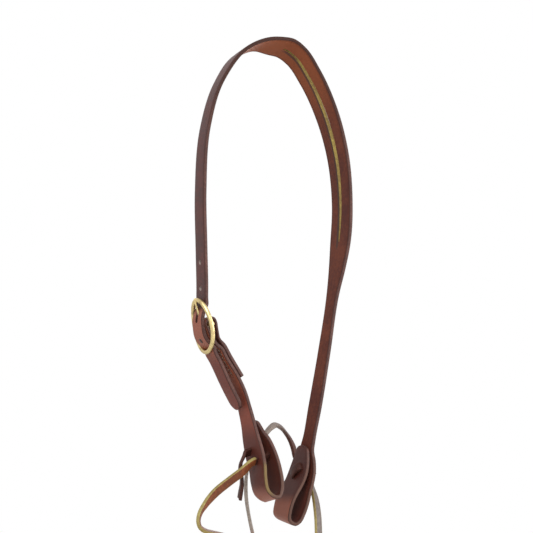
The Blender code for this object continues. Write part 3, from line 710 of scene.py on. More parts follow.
def wire_section(width, thickness):
    """A round or oval wire's section."""
    turns = [2 * math.pi * k / WIRE_SIDES for k in range(WIRE_SIDES)]
    return [(width / 2 * math.cos(turn), thickness / 2 * math.sin(turn), 0) for turn in turns]


def block_section(width, thickness):
    """A rectangular section, for a cutter that leaves raw hide behind."""
    return [(x * width / 2, y * thickness / 2, RAW) for x, y in CORNERS]


def linked(name, data):
    """A new object in the scene."""
    made = bpy.data.objects.new(name, data)
    bpy.context.scene.collection.objects.link(made)
    return made


def strip(name, rows, outline, closed=False, slant=0.0):
    """A piece with a section at each row. The map named lie has the way along it in metres and
    the way across it as a share of the width, from its middle."""
    bm = bmesh.new()
    lie = bm.loops.layers.uv.new("lie")
    places = [Vector(row[:3]) for row in rows]
    last = len(rows) - 1
    rings, runs, sides = [], [], []
    run = 0.0
    for i, row in enumerate(rows):
        before = places[i - 1 if closed else max(i - 1, 0)]
        after = places[(i + 1) % len(rows) if closed else min(i + 1, last)]
        heading = (after - before).normalized()
        hint = Vector(row[5:8])
        across = (hint - heading * hint.dot(heading)).normalized()
        out = heading.cross(across)
        spots = outline(row[3], row[4])
        ring = []
        for x, y, part in spots:
            shift = heading * (slant * (x / row[3] - 0.5) if i == last else 0.0)
            ring.append(bm.verts.new(places[i] + across * x + out * y + shift))
        run += (places[i] - places[max(i - 1, 0)]).length
        runs.append(run)
        rings.append(ring)
        sides.append([x / row[3] for x, y, part in spots])
    parts = [part for x, y, part in outline(rows[0][3], rows[0][4])]
    count = len(parts)
    for i in range(len(rings) if closed else last):
        low, high = i, (i + 1) % len(rings)
        for k in range(count):
            after = (k + 1) % count
            corners = ((low, k), (low, after), (high, after), (high, k))
            face = bm.faces.new([rings[a][b] for a, b in corners])
            face.material_index = parts[k]
            for loop, (a, b) in zip(face.loops, corners):
                loop[lie].uv = (runs[a], sides[a][b])
    if not closed:
        for ring in (rings[0], rings[-1]):
            bm.faces.new(ring).material_index = min(EDGE, max(parts))
    bmesh.ops.recalc_face_normals(bm, faces=bm.faces)
    mesh = bpy.data.meshes.new(name)
    bm.to_mesh(mesh)
    bm.free()
    return linked(name, mesh)


def rounded_end(rows, length, steps=5):
    """The rows with a round end of the given length drawn before the first one."""
    start = Vector(rows[0][:3])
    heading = (Vector(rows[1][:3]) - start).normalized()
    tip = []
    for k in range(steps):
        angle = math.radians(TIP_DEGREES + (90 - TIP_DEGREES) * k / steps)
        place = start - heading * (length * math.cos(angle))
        tip.append((*place, rows[0][3] * math.sin(angle), *rows[0][4:]))
    return tip + rows


def round_both_ends(rows, first, last):
    """The rows with a round end of its own length at either end."""
    rows = rounded_end(rows, first)
    return rounded_end(rows[::-1], last)[::-1]


def punch(name, length, width, depth, matrix, part):
    """A cutter with round ends: its length along X, its width along Y, its depth along Z."""
    bpy.ops.object.select_all(action="DESELECT")
    bpy.ops.mesh.primitive_cylinder_add(vertices=PUNCH_SIDES, radius=width / 2, depth=depth)
    made = bpy.context.object
    made.name = name
    for vertex in made.data.vertices:
        if abs(vertex.co.x) > MIDDLE_REACH:
            vertex.co.x += math.copysign((length - width) / 2, vertex.co.x)
    for face in made.data.polygons:
        face.material_index = part
    made.data.transform(matrix)
    return made


def combine(piece, other, operation):
    """Joins another piece to a piece, or cuts it out, and removes it."""
    step = piece.modifiers.new("combine", "BOOLEAN")
    step.operation = operation
    step.solver = "EXACT"
    step.object = other
    bpy.ops.object.select_all(action="DESELECT")
    piece.select_set(True)
    bpy.context.view_layer.objects.active = piece
    bpy.ops.object.modifier_apply(modifier=step.name)
    bpy.data.objects.remove(other)


def soften(piece, degrees):
    """Smooth shading that keeps the edges sharper than the given angle."""
    piece.data.shade_smooth()
    piece.data.set_sharp_from_angle(angle=math.radians(degrees))


def dress(piece, *finishes):
    """Gives a new piece its finishes, one to a slot."""
    for finish in finishes:
        piece.data.materials.append(finish)


def hand_over(piece, body, slot, *nodes):
    """Sets the body that a piece moves with and hides the CAD nodes that it stands for. The slot is
    not used.
    """
    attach(piece, body)
    if nodes:
        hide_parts(*nodes)


def widened(share, wide):
    """The width a share of the way from the strap's to a wider one."""
    return STRAP_WIDTH + (wide - STRAP_WIDTH) * share


# Levels round the buckle's bar, measured out from its middle
RAIL_RADIUS = BUCKLE_WIRE / 2
HALF_HEIGHT = BUCKLE_HEIGHT / 2 - RAIL_RADIUS
HALF_WIDTH = BUCKLE_WIDTH / 2 - RAIL_RADIUS
TURN_LEVEL = BAR_DIAMETER / 2 + CLEARANCE + TURN_LEATHER / 2
EYE_LEVEL = BAR_DIAMETER / 2 + CLEARANCE + TONGUE_WIRE / 2
TOPMOST = max(TURN_LEVEL + TURN_LEATHER / 2, EYE_LEVEL + TONGUE_WIRE / 2)
OVER_BAR = TOPMOST + CLEARANCE + LEATHER / 2
REST_LEVEL = BAR_SET_BACK + BUCKLE_BOW + RAIL_RADIUS + CLEARANCE + TONGUE_WIRE / 2
BUCKLE = Frame((-BAR_REACH, 0, -BUCKLE_DROP), BUCKLE_SLANT, 0, BUCKLE_TWIST, -1)


def behind_rail(share):
    """The level of a strap's middle behind the frame, at a share of its half height."""
    return BAR_SET_BACK + BUCKLE_BOW * share**2 - RAIL_RADIUS - 2 * CLEARANCE - LEATHER / 2


def billet_levels():
    """The billet's middle as (along, out) in the buckle's frame, from the top down."""
    levels = []
    for along, drop in reversed(BILLET_OVER_SHARES):
        behind = behind_rail(BILLET_OVER_SHARES[0][0])
        levels.append((along * HALF_HEIGHT, OVER_BAR + (behind - OVER_BAR) * drop))
    start = levels[-1][1]
    for along, fall in BILLET_TAIL_SHARES:
        levels.append((along * CHEEK_LENGTH, start - CHEEK_FALL * fall))
    return levels


def layer_behind(levels, gaps):
    """The levels of a layer behind the last of the given ones, a gap from each."""
    layer = []
    first = len(levels) - len(gaps)
    for i, gap in enumerate(gaps, first):
        low, high = levels[i - 1], levels[min(i + 1, len(levels) - 1)]
        along, out = high[0] - low[0], high[1] - low[1]
        share = gap / math.hypot(along, out)
        layer.append((levels[i][0] + out * share, levels[i][1] - along * share))
    return layer


def cheek_place(along, out):
    """A place on the near cheek, which sways back more and more towards its end."""
    sway = CHEEK_SWAY * max(along / CHEEK_LENGTH, 0) ** SWAY_POWER
    return BUCKLE.point(along, out, -sway)


def cheek_rows(levels, thickness=LEATHER, twist=CHEEK_TWIST, start=0.0):
    """A layer's rows. From the start, a share of the cheek's length, its width turns from the
    buckle's way to the twist over half that length."""
    turned = Vector((-math.sin(twist), math.cos(twist), 0))
    rows = []
    for along, out in levels:
        share = 2 * (along / CHEEK_LENGTH - start)
        across = BUCKLE.across.lerp(turned, min(max(share, 0), 1))
        rows.append(station(cheek_place(along, out), STRAP_WIDTH, thickness, across))
    return rows


LAYER_PITCH = LEATHER + LAYER_GAP
BILLET = billet_levels()
MAIN_LAYER = layer_behind(BILLET, [LAYER_PITCH + TAIL_STAND * share for share in STAND_SHARES])
TURNED_LAYER = layer_behind(MAIN_LAYER, [LAYER_PITCH] * CHEEK_STATIONS)[:RETURN_STATIONS]


def inner_place(end, along, gap):
    """A place on a bit end's inner layer."""
    return end.point(along * BIT_END_LENGTH, -LEATHER - LAYER_GAP - gap * EYE_WIDTH)


def skewed(end, place, width, skew, share):
    """A row turned about its near edge, more so towards the bottom of the bit end."""
    turn = skew * max(share - SKEW_START_SHARE, 0) / (1 - SKEW_START_SHARE)
    across = end.across * math.cos(turn) - end.out * math.sin(turn)
    return station(place + (across - end.across) * width / 2, width, LEATHER, across)


def bit_end_rows(end, outer, inner, skew=0):
    """Down the outer layer of a bit end, round the eye and up the inner layer."""
    rows = []
    for along, out, widen in outer:
        place = end.point(along * BIT_END_LENGTH, out * EYE_WIDTH)
        rows.append(skewed(end, place, widened(widen, BIT_END_WIDTH), skew, along))
    for along, gap, widen in inner:
        place = inner_place(end, along, gap)
        rows.append(skewed(end, place, widened(widen, BIT_END_WIDTH), skew, along))
    return rows


NEAR_END = Frame(cheek_place(*MAIN_LAYER[-1]), NEAR_END_SLANT, NEAR_END_SWAY, CHEEK_TWIST, -1)
OFF_END = Frame((OFF_REACH, OFF_SWAY, -OFF_DROP), OFF_END_SLANT, OFF_END_SWAY, OFF_END_TWIST, 1)


def leg_row(x, y, z, widen, drop):
    """A row of either leg. The near one turns to the buckle's way over its upper half."""
    place = (x * HEAD_WIDTH, y * OFF_SWAY, LEATHER / 2 - z * drop)
    if x < 0:
        turned = ACROSS.lerp(BUCKLE.across, min(2 * z, 1))
    else:
        share = (z - OFF_TWIST_START_SHARE) / (OFF_TWIST_END_SHARE - OFF_TWIST_START_SHARE)
        twist = OFF_LEG_TWIST * min(max(share, 0), 1)
        turned = Vector((-math.sin(twist), math.cos(twist), 0))
    return station(place, widened(widen, EAR_WIDTH), LEATHER, turned)


def rolled(row, roll):
    """A row of the ear part turned about its near edge, so that its far edge lies lower."""
    place = Vector(row[:3])
    inward = (HEAD_MIDDLE - place).normalized()
    inward.y = 0
    place += inward * (row[3] / 2 * math.sin(roll))
    return station(place, row[3], row[4], ACROSS * math.cos(roll) + inward * math.sin(roll))


def crown_run():
    """The crown strap from the billet's tip to the end of the off bit end's inner layer."""
    rows = cheek_rows(BILLET[-2::-1], twist=BILLET_TWIST, start=BILLET_TWIST_START_SHARE)
    rows += [leg_row(*shares, BUCKLE_DROP) for shares in NEAR_LEG_SHARES]
    ear = [
        station((x, 0, LEATHER / 2), EAR_WIDTH, LEATHER) for x in (-CROWN_FLAT / 2, CROWN_FLAT / 2)
    ]
    ear += [leg_row(*shares, OFF_DROP) for shares in OFF_LEG_SHARES]
    rows += [rolled(row, EAR_ROLL * share) for row, share in zip(ear, ROLL_SHARES)]
    rows += ear[len(ROLL_SHARES):]
    rows += bit_end_rows(OFF_END, OFF_OUTER_SHARES, OFF_INNER_SHARES)
    return smooth(rows)


def slit_rows(run):
    """The stretch of the crown strap that the ear slit opens, drawn in to a lens."""
    opened = [row for row in run if row[0] > SLIT_START and row[2] > -SLIT_DROP]
    rows = []
    for k, row in enumerate(opened):
        share = k / (len(opened) - 1)
        lens = math.sin(math.pi * share) ** SLIT_FULLNESS
        width = SLIT_WIDTH * (SLIT_END_SHARE + (1 - SLIT_END_SHARE) * lens)
        rows.append((*row[:3], width, SLIT_CUT, *row[5:]))
    return rows


def matrix_on(run, place, shift):
    """A place a distance along the strap from the point of it nearest to the given one. Local
    X runs along the strap and Y across."""
    i = min(range(len(run) - 1), key=lambda k: (Vector(run[k][:3]) - place).length)
    start = Vector(run[i][:3])
    left = shift + (place - start).dot((Vector(run[i + 1][:3]) - start).normalized())
    while left > distance(run[i], run[i + 1]):
        left -= distance(run[i], run[i + 1])
        i += 1
    while left < 0:
        i -= 1
        left += distance(run[i], run[i + 1])
    start = Vector(run[i][:3])
    heading = (Vector(run[i + 1][:3]) - start).normalized()
    across = Vector(run[i][5:8])
    across = (across - heading * across.dot(heading)).normalized()
    return axes_at(start + heading * left, heading, across)


class Tie:
    """A lace through a bit end: in through one slot, over the inner layer, out of the other."""

    def __init__(self, end, outer, inner, tied):
        before, place, after = [
            inner_place(end, along, gap)
            for along, gap, _ in inner[tied - 1:tied + 2]
        ]
        down = (before - after).normalized()
        self.place = place
        self.out = (end.out - down * end.out.dot(down)).normalized()
        across = down.cross(self.out)
        self.step = down * math.cos(SLOT_TURN) - across * math.sin(SLOT_TURN)
        self.wide = self.out.cross(self.step)
        level = inner[tied][0]
        lower = [out for along, out, widen in outer if along > level][0]
        face = end.point(level * BIT_END_LENGTH, lower * EYE_WIDTH)
        self.reach = (face - place).dot(self.out) + LEATHER / 2 + TIE_STAND

    def point(self, step, out):
        return self.place + self.step * step + self.out * out

    def cutter(self, side):
        middle = self.point(side * SLOT_PITCH / 2, self.reach / 2)
        matrix = axes_at(middle, self.wide, self.step)
        depth = self.reach + 2 * (LEATHER + CUT_OVERRUN)
        return punch("slot", LACE_WIDTH + SLOT_PLAY, LACE + SLOT_PLAY, depth, matrix, EDGE)

    def rows(self):
        """In through the upper slot, over the inner layer and out of the lower one."""
        half = SLOT_PITCH / 2
        bend = LACE / 2 + CLEARANCE
        level = -(LEATHER / 2 + TIE_LIFT + LACE / 2)
        quarter = [
            (half, self.reach),
            (half, level + 2 * bend),
            (half, level + bend),
            (half - TIE_CORNER_SHARE * bend, level + TIE_CORNER_SHARE * bend),
            (half - bend, level),
        ]
        path = [(-step, out) for step, out in quarter] + quarter[::-1]
        return [station(self.point(*spot), LACE_WIDTH, LACE, self.wide) for spot in path]


NEAR_TIE = Tie(NEAR_END, NEAR_OUTER_SHARES, NEAR_INNER_SHARES, NEAR_TIED_STATION)
OFF_TIE = Tie(OFF_END, OFF_OUTER_SHARES, OFF_INNER_SHARES, OFF_TIED_STATION)


def near_cheek_rows():
    """The near cheek strap from the bit end's inner layer, round the eye, up to the buckle,
    over the bar and back down to the end of the turn."""
    rows = bit_end_rows(NEAR_END, NEAR_OUTER_SHARES, NEAR_INNER_SHARES, NEAR_END_SKEW)[:0:-1]
    rows += cheek_rows(MAIN_LAYER[::-1])
    over = [(along * TURN_LEVEL, out * TURN_LEVEL) for along, out in OVER_SHARES]
    turn = [(along * TURN_BULGE, -behind * TURN_BULGE) for along, behind in TURN_SHARES]
    rows += cheek_rows(over + turn, TURN_LEATHER)
    rows += cheek_rows(TURNED_LAYER)
    return round_both_ends(smooth(rows), RETURN_TIP, EDGE_ROUNDING)


def tongue_rows():
    """A wire eye round the bar and a shank that rests on the front of the top rail."""
    places = []
    for degrees in TONGUE_EYE_DEGREES:
        turn = math.radians(degrees)
        places.append((0, EYE_LEVEL * math.sin(turn), EYE_LEVEL * math.cos(turn)))
    climb = REST_LEVEL - EYE_LEVEL
    places += [(0, -HALF_HEIGHT * a, EYE_LEVEL + climb * b) for a, b in SHANK_SHARES]
    rows = [station(place, TONGUE_WIRE, TONGUE_WIRE, (1, 0, 0)) for place in places]
    run = smooth(rows, step=TONGUE_WIRE, least=2)
    return rounded_end(run[::-1], TONGUE_WIRE / 2)


def harness_finishes(tones):
    """The finishes of a strap, in the order of its parts."""
    return (
        harness_grain("oiled_harness_grain", tones, tones.grain_worn),
        harness_flesh(tones), harness_edge(tones),
        raw_hide("raw_cut_hide", tones.raw_cut_and_highlight, tones.raw_dark),
        # The punched holes' walls are pale fibres, painted paler still as the holes' highlight
        raw_hide("punched_hide_highlight", tones.punched, tones.punched_dark),
    )


def in_metres(name, description, default):
    """A length that a user can change."""
    return FloatProperty(name=name, description=description, default=default, unit="LENGTH")


def colour(name, description, code):
    """A colour that a user can change, as an sRGB hex code."""
    return StringProperty(name=name, description=description, default=code)


class HeadstallSizes(bpy.types.PropertyGroup):
    lace_slant: in_metres("Lace end slant", "How far the cut at a lace's end runs along it", 0.005)
    lace_step: in_metres("Lace step", "Distance between sections of a lace", 0.0022)
    ring_wire: in_metres("Ring wire", "Thickness of the buckle's ring", 0.0042)
    thread: in_metres("Thread", "Diameter of the stitching thread", 0.0010)
    stitch: in_metres("Stitch", "Distance from one stitch to the next", 0.0042)
    stitch_inset: in_metres("Stitch inset", "Way from a row of stitches to the middle", 0.0066)
    stitches: IntProperty(
        name="Stitches", description="Stitches in one row", default=7, min=1)


class HeadstallColours(bpy.types.PropertyGroup):
    grain_light: colour("Grain, light", "Oiled grain where the dye lies thin", "#593430")
    grain_dark: colour("Grain, dark", "Oiled grain where the dye lies thick", "#3d2422")
    grain_worn: colour("Grain, worn", "Grain that handling has made redder", "#6b3226")
    # Painted light on the near cheek, where the billet's tail casts its shadow
    grain_cheek_lit: colour("Grain, cheek lit", "Grain of the near cheek", "#a05a42")
    grain_tied: colour("Grain, bit ends", "Grain of the bit ends", "#48211a")
    # Painted shade on the off bit end's grain
    grain_off_end_shade: colour("Grain, off end shade", "Painted shade on the off bit end's grain", "#35130c")
    # Paler grain in the buckle, and painted light from below at the bottom of the bit ends
    grain_pale_and_lit: colour("Grain, pale and lit", "Paler grain in the buckle, painted light at the bit ends' bottoms", "#9b5d49")
    rim: colour("Rim", "Burnished bevel along the edges", "#3a211d")
    flesh_light: colour("Flesh, light", "Flesh side where it is rubbed", "#683a2c")
    flesh_dark: colour("Flesh, dark", "Flesh side in its hollows", "#4c2822")
    # Painted light on the flesh side under the crown
    flesh_crown_lit: colour("Flesh, crown", "Flesh side under the crown", "#83492f")
    flesh_shade: colour("Flesh, shaded", "Flesh side inside the bit ends", "#4c231b")
    # Painted shade on the far lip of the ear slit
    lip: colour("Slit lip", "Painted shade on the far lip of the ear slit", "#3d3430")
    edge_light: colour("Edge, light", "Waxed edge where it shines", "#5e4039")
    edge_dark: colour("Edge, dark", "Waxed edge in its hollows", "#432c28")
    edge_crown: colour("Edge, crown", "Waxed edge over the crown", "#2f160d")
    # Painted highlight on the bit ends' edges
    edge_highlight: colour("Edge, highlight", "Painted highlight on the bit ends' edges", "#5b4137")
    # Pale fibres in the punched holes, painted paler as their highlight
    punched: colour("Punched, light", "Fibres in a punched hole", "#8f827c")
    punched_dark: colour("Punched, dark", "Fibres in a punched hole, in its hollows", "#54423f")
    # Pale raw cut of the slit, also used as a painted highlight on the near bit end's edge
    raw_cut_and_highlight: colour("Raw cut, light", "Pale middle of the hide", "#8f7d3f")
    raw_dark: colour("Raw cut, dark", "Middle of the hide in its hollows", "#6e5a30")
    lace_light: colour("Lace grain, light", "Grain side of a lace", "#834827")
    lace_dark: colour("Lace grain, dark", "Grain side of a lace in its creases", "#5c3220")
    lace_flesh: colour("Lace flesh, light", "Flesh side of a lace", "#7f7670")
    lace_flesh_dark: colour("Lace flesh, dark", "Flesh side of a lace in its hollows", "#665b56")
    lace_edge: colour("Lace edge, light", "Cut edge of a lace", "#a2955f")
    lace_edge_dark: colour("Lace edge, dark", "Cut edge of a lace in its hollows", "#857344")
    lace_dull: colour("Lace, dull", "Lace that has gone grey", "#9f948b")
    lace_dull_dark: colour("Lace, dull and dark", "Grey lace in its creases", "#7f746c")
    lace_red: colour("Lace, red", "Grey lace near its end", "#86695a")
    # Painted shade on the laces
    lace_shade: colour("Lace, oiled", "Lace that is soaked in oil", "#4a2a22")
    lace_shade_dark: colour("Lace, oiled and dark", "Oiled lace in its creases", "#2f1814")
    brass: colour("Brass", "Buffed brass", "#d6c18b")
    brass_dull: colour("Brass, dull", "Brass under its bloom", "#a8946a")
    thread: colour("Thread", "Waxed thread", "#6f6658")
    thread_dark: colour("Thread, dark", "Waxed thread between its strands", "#463c33")


class StageSettings(bpy.types.PropertyGroup):
    azimuth: FloatProperty(
        name="Azimuth", description="Way the camera looks from, round the object",
        default=math.radians(-26), subtype="ANGLE")
    elevation: FloatProperty(
        name="Elevation", description="Height of the camera's look, below level if negative",
        default=math.radians(-9.5), subtype="ANGLE")
    distance: in_metres("Distance", "Distance of the camera from its target", 1.15)
    target: FloatVectorProperty(
        name="Target", description="Point that the camera looks at",
        default=(-0.016, 0.0, -0.22817), subtype="XYZ")
    lens: FloatProperty(
        name="Lens", description="Focal length in millimetres", default=79.2)
    surround: FloatProperty(
        name="Surround", description="Strength of the light from all round", default=0.45)
    floor_gap: in_metres("Floor gap", "Gap under the lowest lace", 0.03)
    floor_radius: in_metres("Floor radius", "Reach of the paper floor", 1.6)
    paper: colour("Paper", "Paper of the floor", "#f4f4f2")


class HEADSTALL_OT_straps(bpy.types.Operator):
    """Makes the crown strap with its ear slit and billet, and the near cheek strap"""
    bl_idname = "headstall.straps"
    bl_label = "Leather straps"

    def execute(self, context):
        tones = context.scene.headstall_colours
        finishes = harness_finishes(tones)
        run = crown_run()
        crown = strip("crown_leather", round_both_ends(run, BILLET_TIP, RETURN_TIP), strap_section)
        cutters = [strip("ear_slit", slit_rows(run), block_section)]
        hole = BUCKLE.point(-TONGUE_HOLE_RISE, OVER_BAR)
        depth = 2 * (LEATHER + CUT_OVERRUN)
        for number in HOLE_NUMBERS:
            long = HOLE_LENGTH if number else TONGUE_HOLE_LENGTH
            shift = number * HOLE_PITCH + HOLE_LIFT if number else 0.0
            part = PUNCHED if number else EDGE
            matrix = matrix_on(run, hole, shift)
            cutters.append(punch("hole", long, HOLE_DIAMETER, depth, matrix, part))
        for cutter in cutters + [OFF_TIE.cutter(side) for side in (-1, 1)]:
            combine(crown, cutter, "DIFFERENCE")
        soften(crown, STRAP_SHARP)
        dress(crown, *finishes)
        hand_over(crown, "headpiece", "oiled_leather", "crown_strap")

        cheek = strip("near_cheek_leather", near_cheek_rows(), strap_section)
        matrix = axes_at(BUCKLE.origin, BUCKLE.along, -BUCKLE.across)
        slot = punch(
            "tongue_slot", TURN_SLOT_LENGTH, TURN_SLOT_WIDTH, TURN_SLOT_DEPTH, matrix, EDGE)
        for cutter in [slot] + [NEAR_TIE.cutter(side) for side in (-1, 1)]:
            combine(cheek, cutter, "DIFFERENCE")
        soften(cheek, STRAP_SHARP)
        # The near cheek's grain carries painted light in the billet tail's shadow
        cheek_grain = harness_grain("near_cheek_grain_painted_light", tones, tones.grain_cheek_lit)
        dress(cheek, cheek_grain, *finishes[1:])
        hand_over(cheek, "near_cheek", "oiled_leather", "near_cheek_strap")
        return {"FINISHED"}


class HEADSTALL_OT_buckle(bpy.types.Operator):
    """Makes the cart buckle, an oval ring with a bar across it, and its tongue"""
    bl_idname = "headstall.buckle"
    bl_label = "Cart buckle"

    def execute(self, context):
        wire = context.scene.headstall_sizes.ring_wire
        brass = cast_brass(context.scene.headstall_colours)
        rows = []
        for k in range(RING_STEPS):
            turn = 2 * math.pi * k / RING_STEPS
            x, y = math.cos(turn), math.sin(turn)
            x *= 1 + RING_SWELL_SHARE * y
            place = (HALF_WIDTH * x, HALF_HEIGHT * y, BAR_SET_BACK + BUCKLE_BOW * y**2)
            rows.append(station(place, wire, wire, (0, 0, 1)))
        ring = strip("cart_buckle", rows, wire_section, closed=True)
        ring.data.transform(Matrix.Rotation(BUCKLE_TIP, 4, "X"))
        # The bar's ends stop inside the ring's wire
        reach = HALF_WIDTH - RAIL_RADIUS / 3
        rows = [
            station((side * reach, 0, 0), BAR_DIAMETER, BAR_DIAMETER, (0, 0, 1)) for side in (-1, 1)
        ]
        combine(ring, strip("centre_bar", rows, wire_section), "UNION")
        tongue = strip("buckle_wire_tongue", tongue_rows(), wire_section)
        for piece, body, node in (
            (ring, "headpiece", "buckle_frame"),
            (tongue, "tongue", "buckle_tongue"),
        ):
            piece.data.transform(BUCKLE.matrix())
            soften(piece, BRASS_SHARP)
            dress(piece, brass)
            hand_over(piece, body, "cast_brass", node)
        return {"FINISHED"}


class HEADSTALL_OT_laces(bpy.types.Operator):
    """Makes the laces of both bit ends: each tie through its slots, and its two free ends"""
    bl_idname = "headstall.laces"
    bl_label = "Laces"

    def execute(self, context):
        sizes, tones = context.scene.headstall_sizes, context.scene.headstall_colours
        flesh = latigo("latigo_flesh", tones.lace_flesh, tones.lace_flesh_dark, rough=0.6)
        # The dark lace finish is painted shade
        dark = latigo("latigo_painted_shade", tones.lace_shade, tones.lace_shade_dark, rough=0.5)
        edge = latigo("latigo_cut_edge", tones.lace_edge, tones.lace_edge_dark, rough=0.55)
        grain = latigo("latigo_grain", tones.lace_light, tones.lace_dark, rough=0.45)
        dull = old_latigo(tones)
        for name, body, tie in (
            ("near_tie", "near_cheek", NEAR_TIE), ("off_tie", "headpiece", OFF_TIE),
        ):
            rows = smooth(tie.rows(), step=sizes.lace_step, least=2)
            piece = strip(name.replace("tie", "lace_tie"), rows, lace_section)
            soften(piece, LACE_SHARP)
            # The ties are painted shade all over
            dress(piece, dark, dark, dark)
            hand_over(piece, body, "lace_leather", name)
        tails = (
            ("near_long_tail", "near_cheek", NEAR_TIE, 1, NEAR_LONG_TAIL, (grain, flesh, edge)),
            # The short tail is painted shade all over
            ("near_short_tail", "near_cheek", NEAR_TIE, -1, NEAR_SHORT_TAIL, (dark, dark, dark)),
            ("off_tail", "headpiece", OFF_TIE, 1, OFF_TAIL, (grain, flesh, edge)),
            ("off_over_tail", "headpiece", OFF_TIE, -1, OFF_OVER_TAIL, (dull, dull, dull)),
        )
        for node, body, tie, side, route, finishes in tails:
            leaving = tie.point(side * SLOT_PITCH / 2, tie.reach)
            starts = [leaving, leaving + tie.out * (LACE / 2)]
            rows = [station(place, LACE_WIDTH, LACE, tie.wide) for place in starts]
            rows += [station(place, LACE_WIDTH, LACE, across) for place, across in route]
            rows = smooth(rows, step=sizes.lace_step, least=2)
            name = node.replace("tail", "lace")
            piece = strip(name, rows, lace_section, slant=sizes.lace_slant)
            soften(piece, LACE_SHARP)
            dress(piece, *finishes)
            hand_over(piece, body, "lace_leather", node)
        return {"FINISHED"}


def one_stitch(sizes):
    """One stitch of thread lying along X, drawn in at its ends."""
    bpy.ops.object.select_all(action="DESELECT")
    bpy.ops.mesh.primitive_uv_sphere_add(
        segments=STITCH_SIDES, ring_count=STITCH_RINGS, radius=sizes.thread / 2)
    stitch = bpy.context.object
    bpy.ops.object.mode_set(mode="EDIT")
    bpy.ops.mesh.select_all(action="SELECT")
    long = STITCH_SHOWN_SHARE * sizes.stitch / sizes.thread
    bpy.ops.transform.resize(value=(long, 1.0, STITCH_FLAT_SHARE))
    bpy.ops.object.mode_set(mode="OBJECT")
    return stitch


class HEADSTALL_OT_stitching(bpy.types.Operator):
    """Sews the turned-back cheek under the buckle, with rows on both sides"""
    bl_idname = "headstall.stitching"
    bl_label = "Stitching"

    def execute(self, context):
        sizes = context.scene.headstall_sizes
        cheek = bpy.data.objects["near_cheek_leather"]
        context.view_layer.update()
        pattern = one_stitch(sizes)
        middle = [
            BUCKLE.point((a[0] + b[0]) / 2, (a[1] + b[1]) / 2)
            for a, b in zip(MAIN_LAYER[-CHEEK_STATIONS:], TURNED_LAYER)
        ]
        down = (middle[-1] - middle[0]).normalized()
        inward = down.cross(BUCKLE.across).normalized()
        bm = bmesh.new()
        for side in (-1, 1):
            for row in (-1, 1):
                for k in range(sizes.stitches):
                    start = middle[0] + BUCKLE.across * (row * sizes.stitch_inset)
                    start += down * ((k + 0.5) * sizes.stitch)
                    reach = LEATHER + LAYER_GAP
                    hit, place, normal, _ = cheek.ray_cast(
                        start - inward * side * reach, inward * side, distance=reach)
                    if not hit:
                        raise RuntimeError(f"stitch {k} of row {row} finds no leather")
                    along = (down - normal * down.dot(normal)).normalized()
                    place += normal * (STITCH_LIFT_SHARE * sizes.thread)
                    copy = pattern.data.copy()
                    copy.transform(axes_at(place, along, normal.cross(along)))
                    bm.from_mesh(copy)
                    bpy.data.meshes.remove(copy)
        bpy.data.objects.remove(pattern)
        mesh = bpy.data.meshes.new("buckle_stitching")
        bm.to_mesh(mesh)
        bm.free()
        mesh.shade_smooth()
        piece = linked("buckle_stitching", mesh)
        dress(piece, waxed_thread(context.scene.headstall_colours))
        hand_over(piece, "near_cheek", "lace_leather")
        return {"FINISHED"}


def aimed(made, place, target):
    """Sets a lamp or the camera in its place, looking at the target."""
    made.location = place
    made.rotation_euler = (target - Vector(place)).to_track_quat("-Z", "Y").to_euler()


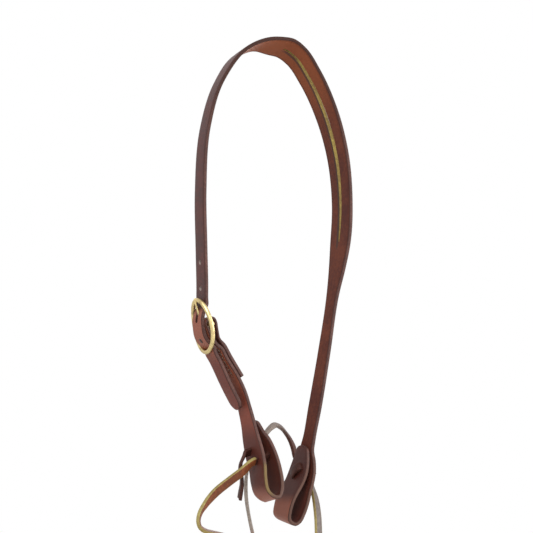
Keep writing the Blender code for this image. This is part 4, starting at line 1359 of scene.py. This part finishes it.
class HEADSTALL_OT_stage(bpy.types.Operator):
    """Sets the camera, the lights, the white surround and the floor"""
    bl_idname = "headstall.stage"
    bl_label = "Stage"

    def execute(self, context):
        scene = context.scene
        stage = scene.headstall_stage
        target = Vector(stage.target)
        level = math.cos(stage.elevation)
        back = Vector((
            math.sin(stage.azimuth) * level,
            -math.cos(stage.azimuth) * level,
            math.sin(stage.elevation),
        ))
        data = bpy.data.cameras.new("camera")
        data.lens = stage.lens
        scene.camera = linked("camera", data)
        aimed(scene.camera, target + back * stage.distance, target)
        scene.view_settings.view_transform = "Standard"

        # Each lamp's place, the size of its disk and its power in watts
        for name, place, size, power in (
            ("key", (-0.9, -1.3, 0.75), 1.1, 26),
            ("fill", (1.3, -0.9, 0.1), 1.4, 20),
            ("rim", (0.9, 1.3, 0.3), 1.2, 6),
            ("bounce", (-0.2, -0.5, -1.4), 1.2, 5),
        ):
            data = bpy.data.lights.new(name, "AREA")
            data.shape = "DISK"
            data.size = size
            data.energy = power
            aimed(linked(name, data), place, target)

        world = bpy.data.worlds.new("studio")
        scene.world = world
        world.use_nodes = True
        tree = world.node_tree
        tree.nodes.clear()
        path = add(tree, "ShaderNodeLightPath").outputs
        seen = 0.0
        for ray in ("Is Camera Ray", "Is Glossy Ray", "Is Transmission Ray"):
            inputs = {0: seen, 1: path[ray]}
            seen = add(tree, "ShaderNodeMath", inputs, operation="MAXIMUM").outputs[0]
        light, white = [
            add(tree, "ShaderNodeBackground", {"Color": linear("#ffffff"), "Strength": strength})
            for strength in (stage.surround, 1.0)
        ]
        both = add(tree, "ShaderNodeMixShader", {0: seen, 1: light.outputs[0], 2: white.outputs[0]})
        add(tree, "ShaderNodeOutputWorld", {"Surface": both.outputs[0]})

        bpy.ops.object.select_all(action="DESELECT")
        lowest = CAD_BOX[0][2] - stage.floor_gap
        bpy.ops.mesh.primitive_circle_add(
            vertices=FLOOR_SIDES, radius=stage.floor_radius, fill_type="NGON",
            location=(0, 0, lowest))
        floor = context.object
        floor.name = "floor"
        dress(floor, white_paper(stage.paper))
        return {"FINISHED"}


class HEADSTALL_PT_panel(bpy.types.Panel):
    """Lists the steps that make the headstall"""
    bl_idname = "HEADSTALL_PT_panel"
    bl_label = "Headstall"
    bl_space_type = "VIEW_3D"
    bl_region_type = "UI"
    bl_category = "Headstall"

    def draw(self, context):
        for operator in OPERATORS:
            self.layout.operator(operator.bl_idname)


OPERATORS = (
    HEADSTALL_OT_stage,
    HEADSTALL_OT_laces,
    HEADSTALL_OT_straps,
    HEADSTALL_OT_buckle,
    HEADSTALL_OT_stitching,
)
CLASSES = (HeadstallSizes, HeadstallColours, StageSettings, *OPERATORS, HEADSTALL_PT_panel)


def register():
    for cls in CLASSES:
        bpy.utils.register_class(cls)
    bpy.types.Scene.headstall_sizes = PointerProperty(type=HeadstallSizes)
    bpy.types.Scene.headstall_colours = PointerProperty(type=HeadstallColours)
    bpy.types.Scene.headstall_stage = PointerProperty(type=StageSettings)


def unregister():
    del bpy.types.Scene.headstall_stage
    del bpy.types.Scene.headstall_colours
    del bpy.types.Scene.headstall_sizes
    for cls in reversed(CLASSES):
        bpy.utils.unregister_class(cls)


def main():
    register()
    bpy.ops.headstall.stage()
    bpy.ops.headstall.laces()
    bpy.ops.headstall.straps()
    bpy.ops.headstall.buckle()
    bpy.ops.headstall.stitching()


if __name__ == "__main__":
    main()
